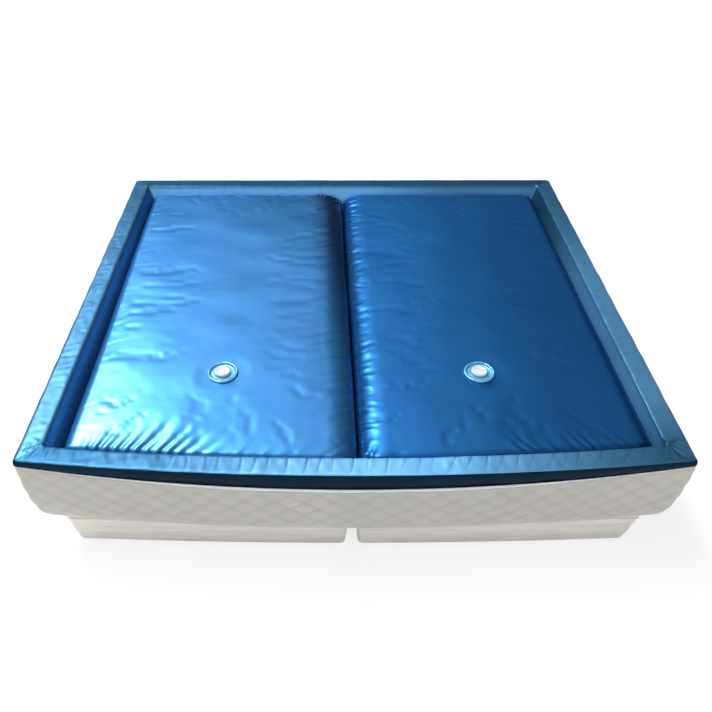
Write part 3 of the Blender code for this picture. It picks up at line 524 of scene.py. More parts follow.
def quilted_fabric(colour, thread):
    """Knitted ticking with sewn diamond lines, read from the quilt field, and painted shade in the valleys
    between the puffs.
    """
    look = Finish("quilted_ticking", roughness=0.9, specular_ior_level=0.2, sheen_weight=0.25)
    across, along, _ = look.split(look.field("quilt", FIELD_VECTOR))
    line_a = abs((across + 0.5).part() - 0.5)
    line_b = abs((along + 0.5).part() - 0.5)
    sewn = look.field("sewn")
    dash_a = ((along * 26.0).part() < 0.68) * (line_a < 0.013)
    dash_b = ((across * 26.0).part() < 0.68) * (line_b < 0.013)
    stitch = (dash_a + dash_b).clamped() * sewn
    cloud = look.noise(0.12, 4.0, 0.6)
    fleck = look.noise(0.004, 2.0, 0.6)
    base = look.shades(cloud, colour, 0.90, 1.08)
    # Painted shade in the valleys between the quilted puffs
    valley = (1.0 - ((line_a * line_b) * 14.0).clamped() ** 0.4) * sewn
    base = look.mixed(valley * 0.50, base, tinted(colour, 0.70))
    base = look.mixed((fleck - 0.5) * 0.6, base, tinted(colour, 0.86))
    base = look.mixed(stitch, base, thread)
    knit = look.noise(0.0016, 2.0, 0.5, (1.0, 1.0, 1.7))
    relief = look.bump(knit, 0.0005, 0.5)
    relief = look.bump(stitch, 0.0006, 0.6, relief)
    return look.wear(Base_Color=base, Normal=relief)


def base_fabric(colour, seam_colour):
    """Plain upholstery cloth with faint level slubs and a tinted seam at its top."""
    look = Finish("base_cloth", roughness=0.92, specular_ior_level=0.2, sheen_weight=0.2)
    slub = look.noise(0.10, 4.0, 0.6, (0.5, 0.5, 7.0))
    cloud = look.noise(0.25, 3.0, 0.5)
    base = look.shades(((slub - 0.38) * 3.4).clamped(), colour, 0.91, 1.05)
    base = look.mixed((cloud - 0.4) * 0.5, base, tinted(colour, 0.93))
    base = look.mixed(look.field("top_seam") * 0.95, base, seam_colour)
    threads = look.noise(0.0018, 2.0, 0.5, (0.5, 0.5, 2.0))
    relief = look.bump(slub, 0.0014, 0.5)
    relief = look.bump(threads, 0.0004, 0.5, relief)
    return look.wear(Base_Color=base, Normal=relief)


def zip_weave(colour):
    """Herringbone tape."""
    look = Finish("zip_tape_weave", roughness=0.8, specular_ior_level=0.3)
    along, up, _ = look.split(look.field("weave", FIELD_VECTOR))
    chevron = (along * 300.0 + abs((up * 140.0).part() - 0.5) * 6.0).part()
    base = look.shades(chevron, colour, 0.93)
    relief = look.bump(chevron, 0.0003, 0.5)
    return look.wear(Base_Color=base, Normal=relief)


def moulded(name, colour, roughness=0.4, **constants):
    """Moulded plastic with a faint grain and slightly uneven gloss."""
    look = Finish(name, roughness=roughness, **constants)
    cloud = look.noise(0.02, 2.0, 0.5)
    grain = look.noise(0.0009, 1.0, 0.5)
    base = look.shades(cloud, colour, 0.95, 1.03)
    relief = look.bump(grain, 0.00006, 0.4)
    return look.wear(Base_Color=base, Roughness=roughness - 0.04 + (cloud * 0.08), Normal=relief)


def cast_metal(name, colour):
    """Plated die-cast metal with fine scratches."""
    look = Finish(name, metallic=0.95, roughness=0.3)
    scratch = look.noise(0.0012, 3.0, 0.6, (1.0, 1.0, 6.0))
    base = look.shades(scratch, colour, 0.86)
    relief = look.bump(scratch, 0.00005, 0.5)
    return look.wear(Base_Color=base, Roughness=scratch * 0.2 + 0.2, Normal=relief)


def cut_foam(name, colour):
    """Cut polyurethane foam with open cells."""
    look = Finish(name, roughness=0.95, specular_ior_level=0.1)
    cells = look.node("ShaderNodeTexVoronoi", None, {"Vector": look.place(), "Scale": 420.0})
    cloud = look.noise(0.05, 3.0, 0.6)
    base = look.shades(cloud, colour, 0.9, 1.05)
    base = look.mixed((1.0 - cells).clamped() * 0.25, base, tinted(colour, 0.7))
    relief = look.bump(cells, 0.0006, 0.5)
    return look.wear(Base_Color=base, Normal=relief)


def fibre_mat(name, colour):
    """Matted polyester fibres."""
    look = Finish(name, roughness=0.95, specular_ior_level=0.15)
    fibre = look.noise(0.006, 5.0, 0.7, (1.0, 6.0, 1.0), 0.6, warp=1.5)
    cloud = look.noise(0.03, 3.0, 0.6)
    base = look.shades(fibre, colour, 0.86)
    relief = look.bump(fibre + cloud, 0.0012, 0.6)
    return look.wear(Base_Color=base, Normal=relief)


def water(colour):
    look = Finish("treated_water", roughness=0.02, ior=1.33, transmission_weight=0.85)
    cloud = look.noise(0.2, 2.0, 0.5)
    base = look.shades(cloud, colour, 0.95)
    ripple = look.noise(0.05, 2.0, 0.5)
    return look.wear(Base_Color=base, Normal=look.bump(ripple, 0.0004, 0.3))


def timber(name, colour, dark, along):
    """Planed softwood or faced board, its grain along one axis."""
    look = Finish(name, roughness=0.62, specular_ior_level=0.3)
    stretch = (0.08, 1.0, 1.0) if along == "x" else (1.0, 0.08, 1.0)
    grain = look.noise(0.014, 5.0, 0.65, stretch, warp=0.3)
    pores = look.noise(0.0016, 2.0, 0.6, stretch)
    base = look.mixed(((grain - 0.4) * 3.0).clamped(), colour, dark)
    base = look.mixed((pores > 0.62) * 0.35, base, tinted(dark, 0.8))
    relief = look.bump(pores, 0.0002, 0.5)
    return look.wear(Base_Color=base, Roughness=grain * 0.2 + 0.5, Normal=relief)


# Settings
def colour_setting(name, description, default):
    return FloatVectorProperty(name=name, description=description, default=default, subtype="COLOR",
                               size=3, min=0.0, max=1.0)


def length_setting(name, description, default):
    return FloatProperty(name=name, description=description, default=default, min=0.0, unit="LENGTH")


def plain_setting(name, description, default):
    return FloatProperty(name=name, description=description, default=default)


class WaterCoreSettings(bpy.types.PropertyGroup):
    # The two cores are one vinyl: the left core's paler colour is painted light and the right core's deeper
    # colour is painted shade.
    left_lit_colour: colour_setting("Left vinyl", "Colour of the left core's vinyl", (0.050, 0.262, 0.64))
    right_shaded_colour: colour_setting("Right vinyl", "Colour of the right core's vinyl", (0.026, 0.176, 0.500))
    fold_height: length_setting("Fold height", "Height of the strongest folds at the front", 0.0052)
    pucker_height: length_setting("Pucker height", "Most that the simulated puckers stand out", 0.0006)
    wave_height: length_setting("Wave height", "Height of the broad unevenness on top", 0.0011)
    roll_depth: plain_setting("Edge roll", "Depth of the rolled edges, 1 as designed", 1.0)
    water_colour: colour_setting("Water", "Tint of the water", (0.80, 0.92, 0.95))
    fleece_colour: colour_setting("Fleece", "Colour of the damping fleece", (0.86, 0.87, 0.86))


class ValveSettings(bpy.types.PropertyGroup):
    flange_colour: colour_setting("Flange", "Colour of the welded flange", (0.12, 0.42, 0.70))
    cap_colour: colour_setting("Cap", "Colour of the screw cap", (0.52, 0.56, 0.58))
    seal_colour: colour_setting("Seal", "Colour of the cap's gasket", (0.02, 0.02, 0.022))
    grip_count: IntProperty(name="Grip ribs", description="Ribs round the cap", default=36, min=8)
    grip_depth: length_setting("Rib depth", "Depth of the grip ribs", 0.0007)


class LinerSettings(bpy.types.PropertyGroup):
    top_colour: colour_setting("Liner vinyl", "Colour of the liner on the rails", (0.19, 0.53, 0.96))
    # The liner's outer band is the same blue vinyl; its near-black colour is painted shade.
    band_shade_colour: colour_setting("Border band", "Colour of the outer strip", (0.004, 0.015, 0.028))
    crease_height: length_setting("Crease height", "Height of the creases across the rails", 0.0016)
    gather_height: length_setting("Gather height", "Height of the gathers at the corners", 0.0034)
    column_pitch: length_setting("Mesh pitch", "Spacing of the mesh along the rails", 0.0042)


class CoverSettings(bpy.types.PropertyGroup):
    fabric_colour: colour_setting("Ticking", "Colour of the quilted cover", (0.445, 0.432, 0.404))
    thread_colour: colour_setting("Thread", "Colour of the quilting thread", (0.41, 0.40, 0.37))
    diamond_width: length_setting("Diamond width", "Width of one quilted diamond", 0.098)
    diamond_height: length_setting("Diamond height", "Height of one quilted diamond", 0.070)
    puff_height: length_setting("Puff height", "How far a diamond stands out", 0.0038)
    column_pitch: length_setting("Mesh pitch", "Spacing of the mesh round the cover", 0.0075)


class ZipSettings(bpy.types.PropertyGroup):
    tape_colour: colour_setting("Zip tape", "Colour of the zip's tape", (0.62, 0.66, 0.70))
    tooth_colour: colour_setting("Zip teeth", "Colour of the moulded teeth", (0.72, 0.75, 0.78))
    metal_colour: colour_setting("Slider", "Colour of the slider and its tab", (0.70, 0.70, 0.70))
    tooth_pitch: length_setting("Tooth pitch", "Distance from tooth to tooth", 0.0042)


class BaseSettings(bpy.types.PropertyGroup):
    fabric_colour: colour_setting("Base cloth", "Colour of the base fabric", (0.70, 0.675, 0.635))
    seam_colour: colour_setting("Top seam", "Colour of the seam at the base's top", (0.42, 0.30, 0.26))
    board_colour: colour_setting("Boards", "Colour of the base boards", (0.62, 0.44, 0.26))
    deck_colour: colour_setting("Deck", "Colour of the deck", (0.66, 0.50, 0.32))
    glide_colour: colour_setting("Glides", "Colour of the floor glides", (0.03, 0.03, 0.032))
    wadding_colour: colour_setting("Wadding", "Colour of the wadding", (0.82, 0.80, 0.76))
    drape_height: length_setting("Fold height", "Height of the faint folds in the cloth", 0.0022)


class TubSettings(bpy.types.PropertyGroup):
    foam_colour: colour_setting("Foam", "Colour of the rails, pad and divider", (0.78, 0.72, 0.52))
    heater_colour: colour_setting("Heaters", "Colour of the heater pads", (0.05, 0.05, 0.055))
    edge_round: length_setting("Foam edge", "Rounding of the foam's cut edges", 0.004)


class StageSettings(bpy.types.PropertyGroup):
    floor_colour: colour_setting("Floor", "Colour of the floor", (0.92, 0.92, 0.92))
    softbox_power: plain_setting("Softbox", "Power of the soft light overhead", 18.0)
    window_glow: plain_setting("Window", "Brightness of the window behind the left", 2.7)
    left_glow: plain_setting("Left wall", "Brightness of the studio's left side", 1.55)
    dark_side: plain_setting("Dark side", "How far to the right the glow reaches", 0.27)
    front_glow: plain_setting("Front wall", "Brightness of the studio in front", 0.80)
    camera_lens: FloatProperty(name="Lens", description="Focal length", default=36.2, unit="CAMERA")


# Water cores
CORE_NEAR = 0.0013
CORE_FAR = 0.9840
CORE_WIDTH = CORE_FAR - CORE_NEAR
FRONT_OUT = 0.0992
REAR_OUT = 0.1120
FOOT_NEAR = 0.0640
FOOT_OUT = 0.2005
CORE_FRONT = FRONT_Y + FRONT_OUT
CORE_REAR = REAR_Y - REAR_OUT
CORE_LENGTH = CORE_REAR - CORE_FRONT + FRONT_BULGE
EDGE_Z = 0.4450
CROWN_RISE = 0.0122
CROWN_REACH = 0.085
FOOT_Z = TUB_FLOOR_Z + 0.0024
ROLLS = {"near": 0.100, "far": 0.036, "front": 0.015, "rear": 0.042}
DROPS = {"near": 0.046, "far": 0.034, "front": 0.013, "rear": 0.036}
SIDE_FADE = (0.34, 0.41)
GROOVE_FADE = (0.36, 0.40)
GROOVE_WANDER = 0.016
GROOVE_CLEARANCE = 0.0008
VALVE_CALM = (0.050, 0.120)
VALVE_FLAT = (0.046, 0.110)
NECK_OPENING = 0.028
TOP_ABOVE_Z = 0.40
HELD_BELOW_Z = 0.30
SMOOTHING_PASSES = 6
WATER_INSET = 0.014
FULL_FOLD = 0.0052
FULL_VALLEY = 0.0036
FOLD_VALLEY_PAINTED_SHADE = 0.62
SIMULATED_FRAMES = 20
SLACK_VINYL = {
    "quality": 5, "mass": 0.35, "tension_stiffness": 25.0, "compression_stiffness": 25.0,
    "shear_stiffness": 8.0, "bending_stiffness": 0.08, "air_damping": 2.0, "shrink_min": -0.035,
    "use_pressure": True, "uniform_pressure_force": 4.0, "vertex_group_mass": "held",
}


def core_lines(length, roll_low, roll_high, fine, wide, steps, reach=0.22):
    """Mesh lines across a core's top: close together near its edges, wider in its middle."""
    def from_edge(roll):
        count = max(2, round(steps * roll / 0.045))
        lines = [roll * (1 - math.cos(math.pi / 2 * step / count)) for step in range(count)]
        place = roll
        while place < length / 2 - fine / 2:
            lines.append(place)
            place += fine + (wide - fine) * min(1.0, max(0.0, (place - reach) / 0.12))
        return lines
    return np.array(from_edge(roll_low) + [length - place for place in reversed(from_edge(roll_high))])


def core_grid(fine, wide_x, wide_y, steps, reach_x=0.22):
    """Mesh lines of a core's top, those across it and those along it."""
    return (core_lines(CORE_WIDTH, ROLLS["near"], ROLLS["far"], fine, wide_x, steps, reach_x),
            core_lines(CORE_LENGTH, ROLLS["front"], ROLLS["rear"], fine, wide_y, steps))


def core_front_y(x):
    return CORE_FRONT - front_bow(x)


def groove_shift(y):
    """How far the groove between the cores wanders to the right toward the front."""
    return GROOVE_WANDER * (1 - smooth_step(-0.95, 0.75, y))


def core_points(side, lines_x, lines_y, roll_depth, inset=0.0, side_rows=8):
    """Points and faces of one core: its top as a grid, then rings down its sides and a flat underside."""
    width, length = CORE_WIDTH, CORE_LENGTH

    def tuck(places, total, roll_low, roll_high):
        return np.clip(1 - places / roll_low, 0, 1), np.clip(1 - (total - places) / roll_high, 0, 1)

    d_x, d_y = np.meshgrid(lines_x, lines_y)
    near, far = tuck(d_x, width, ROLLS["near"], ROLLS["far"])
    front, rear = tuck(d_y, length, ROLLS["front"], ROLLS["rear"])
    t_x, t_y = near + far, front + rear
    round_x = t_x * np.sqrt(1 - t_y ** 2 / 2)
    round_y = t_y * np.sqrt(1 - t_x ** 2 / 2)
    depth_x = np.where(near > 0, DROPS["near"], DROPS["far"])
    depth_y = np.where(front > 0, DROPS["front"], DROPS["rear"])
    depth = (depth_x * round_x ** 2 + depth_y * round_y ** 2) / (round_x ** 2 + round_y ** 2 + 1e-9)
    drop = roll_depth * depth * (1 - np.sqrt(np.clip(1 - round_x ** 2 - round_y ** 2, 0, 1)))
    p_x = d_x + (t_x - round_x) * np.where(near > 0, ROLLS["near"], -ROLLS["far"])
    p_y = d_y + (t_y - round_y) * np.where(front > 0, ROLLS["front"], -ROLLS["rear"])
    crown_x = 1 - np.exp(-np.minimum(d_x, width - d_x) / CROWN_REACH)
    crown_y = 1 - np.exp(-np.minimum(d_y, length - d_y) / CROWN_REACH)
    x = side * (CORE_NEAR + inset + p_x * (width - 2 * inset) / width)
    y_front = core_front_y(x) + inset
    y = y_front + p_y * (CORE_REAR - inset - y_front) / length
    z = EDGE_Z + CROWN_RISE * crown_x * crown_y - drop - inset
    x = x + groove_shift(y)
    top = np.stack((x, y, z), -1)

    rows, columns = top.shape[:2]
    index = np.arange(rows * columns).reshape(rows, columns)
    rim = np.concatenate((index[0, :-1], index[:-1, -1], index[-1, :0:-1], index[:0:-1, 0]))
    rim_points = top.reshape(-1, 3)[rim]
    share_x = (np.abs(rim_points[:, 0]) - CORE_NEAR) / width
    y_low = core_front_y(rim_points[:, 0])
    share_y = (rim_points[:, 1] - y_low) / (CORE_REAR - y_low)
    foot_x = FOOT_NEAR + inset + share_x * (HALF_WIDTH - FOOT_OUT - FOOT_NEAR - 2 * inset)
    foot_front = FRONT_Y + FOOT_OUT + inset - front_bow(foot_x)
    foot_y = foot_front + share_y * (REAR_Y - FOOT_OUT - inset - foot_front)
    foot = np.column_stack((side * foot_x, foot_y))
    inward = foot.mean(0) - foot
    inward /= np.linalg.norm(inward, axis=1)[:, None]
    rings = []
    for row in range(1, side_rows + 1):
        share = row / side_rows
        ring = rim_points.copy()
        ring[:, :2] += (foot - rim_points[:, :2]) * share
        ring[:, 2] += (FOOT_Z + 0.010 + inset - rim_points[:, 2]) * share
        rings.append(ring)
    for pull, height in ((0.012, FOOT_Z + 0.002 + inset), (0.040, FOOT_Z + inset)):
        rings.append(at_level(foot + inward * pull, height))
    points = np.vstack([top.reshape(-1, 3)] + rings)
    faces = grid_faces(rows, columns)
    last = rim
    for number in range(len(rings)):
        ring_index = rows * columns + number * len(rim) + np.arange(len(rim))
        following, before = np.roll(ring_index, -1), np.roll(last, -1)
        faces += list(zip(last, ring_index, following, before))
        last = ring_index
    faces.append(tuple(reversed(last)))
    if side < 0:
        faces = [tuple(reversed(face)) for face in faces]
    return points, faces, (rows, columns), rim


def simulate_puckers(side, settings):
    """How far a slack vinyl bag under pressure puckers off its smooth shape, on a coarse grid."""
    lines_x, lines_y = core_grid(0.019, 0.024, 0.024, 3)
    points, faces, shape, _ = core_points(side, lines_x, lines_y, settings.roll_depth, side_rows=5)
    bag = bpy.data.objects.new("simulated_bag", build_mesh("simulated_bag", points, faces))
    bpy.context.scene.collection.objects.link(bag)
    held = bag.vertex_groups.new(name="held")
    low = [int(i) for i in np.nonzero(points[:, 2] < HELD_BELOW_Z)[0]]
    held.add(low, 1.0, "REPLACE")
    cloth = bag.modifiers.new("Slack vinyl", "CLOTH")
    for setting, value in SLACK_VINYL.items():
        setattr(cloth.settings, setting, value)
    cloth.settings.effector_weights.gravity = 0.0
    cloth.collision_settings.use_collision = False
    cloth.point_cache.frame_start = 1
    cloth.point_cache.frame_end = SIMULATED_FRAMES
    scene = bpy.context.scene
    for number in range(1, SIMULATED_FRAMES + 1):
        scene.frame_set(number)
    normals = mesh_normals(bag.data)
    graph = bpy.context.evaluated_depsgraph_get()
    settled = mesh_points(bag.evaluated_get(graph).data)
    scene.frame_set(1)
    mesh = bag.data
    bpy.data.objects.remove(bag)
    bpy.data.meshes.remove(mesh)
    moved = ((settled - points) * normals).sum(1)[:shape[0] * shape[1]].reshape(shape)
    smooth = moved.copy()
    for _ in range(SMOOTHING_PASSES):
        padded = np.pad(smooth, 1, mode="edge")
        smooth = (padded[:-2, 1:-1] + padded[2:, 1:-1] + padded[1:-1, :-2] + padded[1:-1, 2:]
                  + padded[1:-1, 1:-1]) / 5
    detail = moved - smooth
    most = settings.pucker_height
    return lines_x, lines_y, most * np.tanh(detail / most)


def fold_rows(rows):
    """Folds in rows, each with its seed, its two ends, its pitch and the ranges for its fan."""
    folds = []
    for seed, start, end, pitch, *ranges in rows.values():
        folds += fan(seed + 1, places_along(seed, start, end, pitch), *ranges)
    return folds


def left_core_folds():
    """Folds of the left core: a strong fan at its front left, faint ones elsewhere."""
    starts = (-0.893, -0.862, -0.826, -0.792, -0.757, -0.724, -0.688, -0.655, -0.618, -0.583, -0.536, -0.480)
    leans = (14, 16, 22, 20, 24, 28, 30, 30, 31, 36, 42, 46)
    lengths = (0.075, 0.110, 0.140, 0.135, 0.150, 0.185, 0.130, 0.190, 0.170, 0.160, 0.140, 0.110)
    heights = (0.8, 1.0, 1.0, 0.9, 1.0, 1.1, 0.8, 1.1, 1.0, 0.7, 0.45, 0.3)
    folds = []
    for x, lean, length, height in zip(starts, leans, lengths, heights):
        start = (x, float(core_front_y(x)) + 0.002)
        turn = math.radians(lean)
        end = (x + length * math.sin(turn), start[1] + length * math.cos(turn))
        folds.append((start, end, 0.0128, height * 0.0047, -0.03))
    return folds + fold_rows({
        "front": (3, (-0.44, CORE_FRONT - 0.055), (-0.06, CORE_FRONT - 0.062), 0.055,
                  (20, 50), (0.05, 0.10), (0.008, 0.012), (0.0004, 0.0010), (-0.1, 0.1)),
        "side": (5, (-0.978, -0.86), (-0.978, 0.85), 0.060,
                 (58, 96), (0.07, 0.20), (0.008, 0.013), (0.0003, 0.0010), (-0.15, 0.15)),
        "flank": (7, (-0.012, -0.86), (-0.012, 0.62), 0.058,
                  (-126, -104), (0.12, 0.30), (0.010, 0.015), (0.0008, 0.0019), (-0.10, 0.16)),
        "rear": (9, (-0.93, CORE_REAR - 0.004), (-0.12, CORE_REAR - 0.004), 0.070,
                 (108, 135), (0.10, 0.22), (0.008, 0.012), (0.0014, 0.0032), (-0.08, 0.08)),
        "centre": (11, (-0.13, CORE_REAR - 0.010), (-0.010, CORE_REAR - 0.10), 0.018,
                   (-150, -110), (0.05, 0.12), (0.005, 0.007), (0.0026, 0.0044), (0.1, 0.3)),
    })


def right_core_folds():
    """Folds of the right core: many short ones across its flank at the groove."""
    return fold_rows({
        "flank": (21, (0.012, -0.90), (0.004, 0.86), 0.026,
                  (78, 122), (0.060, 0.13), (0.0050, 0.0078), (0.0018, 0.0046), (-0.22, -0.04)),
        "front": (23, (0.55, CORE_FRONT - 0.040), (0.955, CORE_FRONT - 0.016), 0.036,
                  (-44, -24), (0.07, 0.15), (0.007, 0.010), (0.0009, 0.0024), (0.0, 0.14)),
        "knot": (25, (0.006, CORE_FRONT - 0.058), (0.050, CORE_FRONT - 0.060), 0.014,
                 (-10, 55), (0.05, 0.10), (0.005, 0.007), (0.0024, 0.0040), (-0.1, 0.1)),
        "rear": (27, (0.05, CORE_REAR - 0.004), (0.95, CORE_REAR - 0.004), 0.055,
                 (-165, -120), (0.05, 0.12), (0.006, 0.010), (0.0006, 0.0016), (-0.1, 0.1)),
        "side": (29, (0.978, -0.84), (0.978, 0.86), 0.060,
                 (-100, -60), (0.04, 0.09), (0.006, 0.010), (0.0005, 0.0014), (-0.15, 0.15)),
    })


class WATERBED_OT_cores(bpy.types.Operator):
    """Builds both water cores: slack vinyl bags with simulated puckers and folds, water and fleece inside"""
    bl_idname = "waterbed.cores"
    bl_label = "Water Cores"

    def execute(self, context):
        settings = context.scene.waterbed_cores
        # Lit and shaded copies of one vinyl: the left core's colour holds painted light and the right core's
        # painted shade.
        finishes = {"left": vinyl("core_vinyl_left_lit", settings.left_lit_colour, shaded=True, coat=0.48,
                                  coat_roughness=0.15),
                    "right": vinyl("core_vinyl_right_shaded", settings.right_shaded_colour, shaded=True)}
        folds = {"left": left_core_folds(), "right": right_core_folds()}
        lines_x, lines_y = core_grid(0.0048, 0.0090, 0.0095, 10, 0.48)
        water_finish = water(settings.water_colour)
        fleece_finish = fibre_mat("damping_fleece", settings.fleece_colour)
        for word, side in SIDES:
            points, faces, shape, rim = core_points(side, lines_x, lines_y, settings.roll_depth)
            name = "water_core_" + word
            core = build_piece(name, points, faces, finishes[word])
            normals = mesh_normals(core.data)
            plan = points[:, :2]
            fade = smooth_step(*SIDE_FADE, points[:, 2])
            height = plane_waves(41 + side, plan, 26, 0.16, 0.75) * settings.wave_height
            height += plane_waves(51 + side, plan, 18, 0.05, 0.12) * settings.wave_height * 0.08
            height += fold_field(plan, folds[word]) * (settings.fold_height / FULL_FOLD)
            coarse_x, coarse_y, puckers = simulate_puckers(side, settings)
            rows = resample(puckers, coarse_y, lines_y)
            fine = resample(rows.T, coarse_x, lines_x).T.ravel()
            rings = (len(points) - len(fine)) // len(rim)
            height += np.concatenate((fine, np.tile(fine[rim], rings)))
            valve = np.array(VALVE_PLACES[word][:2])
            away = np.linalg.norm(plan - valve, axis=1)
            calm = smooth_step(*VALVE_CALM, away)
            on_top = np.arange(len(points)) < shape[0] * shape[1]
            points = points + normals * (height * fade * calm)[:, None]
            level = VALVE_FOOT_Z - 0.0006 + 0.0002 * plane_waves(61, plan, 8, 0.04, 0.09)
            flat = (1 - smooth_step(*VALVE_FLAT, away)) * on_top
            points[:, 2] = points[:, 2] * (1 - flat) + level * flat
            middle = groove_shift(points[:, 1]) * smooth_step(*GROOVE_FADE, points[:, 2])
            points[:, 0] = middle + side * np.maximum(side * (points[:, 0] - middle), GROOVE_CLEARANCE)
            move_points(core.data, points)
            # Painted shade in the fold valleys, multiplied into the shade field
            valleys = np.clip(fold_field(plan, folds[word], fold_valley) / FULL_VALLEY, 0, 1)
            add_field(core.data, "shade", self.shade(word, side, points) * (1 - FOLD_VALLEY_PAINTED_SHADE * valleys))
            self.open_neck(core, valve)
            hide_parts("core_bladder_" + word)
            self.fill(word, side, settings, water_finish)
            fleece = soft_copy("core_fleece_" + word, "fleece_mat_" + word, fleece_finish, 0.010, 0.0012,
                               71 + side)
        return {"FINISHED"}

    def shade(self, word, side, points):
        """Painted shade on the vinyl: darker down both sides of the groove, at the left core's rear, in the
        valve's painted shadow, along the front edges and toward the right core's far side.
        """
        near = side * (points[:, 0] - groove_shift(points[:, 1]))
        valve = VALVE_PLACES[word]
        # Painted shadow of the valve, in front of it and to its right
        painted_valve_shadow = np.linalg.norm(points[:, :2] - np.array([valve.x + 0.022, valve.y - 0.050]), axis=1)
        painted_valve_shadow = 0.42 * np.exp(-(painted_valve_shadow / 0.030) ** 2)
        # Painted shade along the core's front edge
        hem = 1 - smooth_step(0.0, 0.030, points[:, 1] - core_front_y(points[:, 0]))
        if side < 0:
            # Painted shade down the left core's side of the groove, wider toward the rear, and at its rear
            toward_rear = smooth_step(-0.6, 0.35, points[:, 1])
            flank = 1 - smooth_step(0.0, 1.0, near / (0.105 + 0.095 * toward_rear))
            rear = smooth_step(0.15, 0.85, points[:, 1]) * smooth_step(0.75, 0.10, -points[:, 0])
            flank *= 0.58 + 0.34 * toward_rear
            hem *= 0.45 * smooth_step(-0.62, -0.40, points[:, 0])
            return np.clip(1 - flank - 0.32 * rear - painted_valve_shadow - hem, 0.1, 1)
        # Painted shade at the groove, on the right core's flank, toward its far side and at its far edge
        deep = 1 - smooth_step(0.0, 0.016, near)
        flank = 1 - smooth_step(0.015, 0.095, near)
        far = smooth_step(0.20, 0.75, points[:, 0])
        hem = 0.45 * hem + 0.55 * smooth_step(0.930, 0.980, points[:, 0])
        return np.clip(1 - 0.34 * deep - 0.50 * flank - 0.30 * far - painted_valve_shadow - hem, 0.05, 1)

    def open_neck(self, core, valve):
        """Takes out the vinyl under the valve's flange, so that the neck is open to the water."""
        mesh = core.data
        centres = np.zeros(len(mesh.polygons) * 3)
        mesh.polygons.foreach_get("center", centres)
        centres = centres.reshape(-1, 3)
        under = np.linalg.norm(centres[:, :2] - valve, axis=1) < NECK_OPENING
        gone = under & (centres[:, 2] > TOP_ABOVE_Z)
        points = mesh_points(mesh)
        faces = [tuple(face.vertices) for face, drop in zip(mesh.polygons, gone) if not drop]
        used = np.unique(np.concatenate(faces))
        order = np.full(len(points), -1)
        order[used] = np.arange(len(used))
        shade = np.zeros(len(points))
        mesh.attributes["shade"].data.foreach_get("value", shade)
        fresh = build_mesh(core.name, points[used], [[order[i] for i in face] for face in faces])
        add_field(fresh, "shade", shade[used])
        fresh.materials.append(mesh.materials[0])
        core.data = fresh
        bpy.data.meshes.remove(mesh)

    def fill(self, word, side, settings, finish):
        points, faces, _, _ = core_points(side, *core_grid(0.028, 0.040, 0.040, 4), settings.roll_depth,
                                          inset=WATER_INSET)
        points[:, 2] = np.maximum(points[:, 2], FOOT_Z + 0.002)
        body = build_piece("water_fill_" + word, points, faces, finish)
        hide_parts("core_water_" + word)


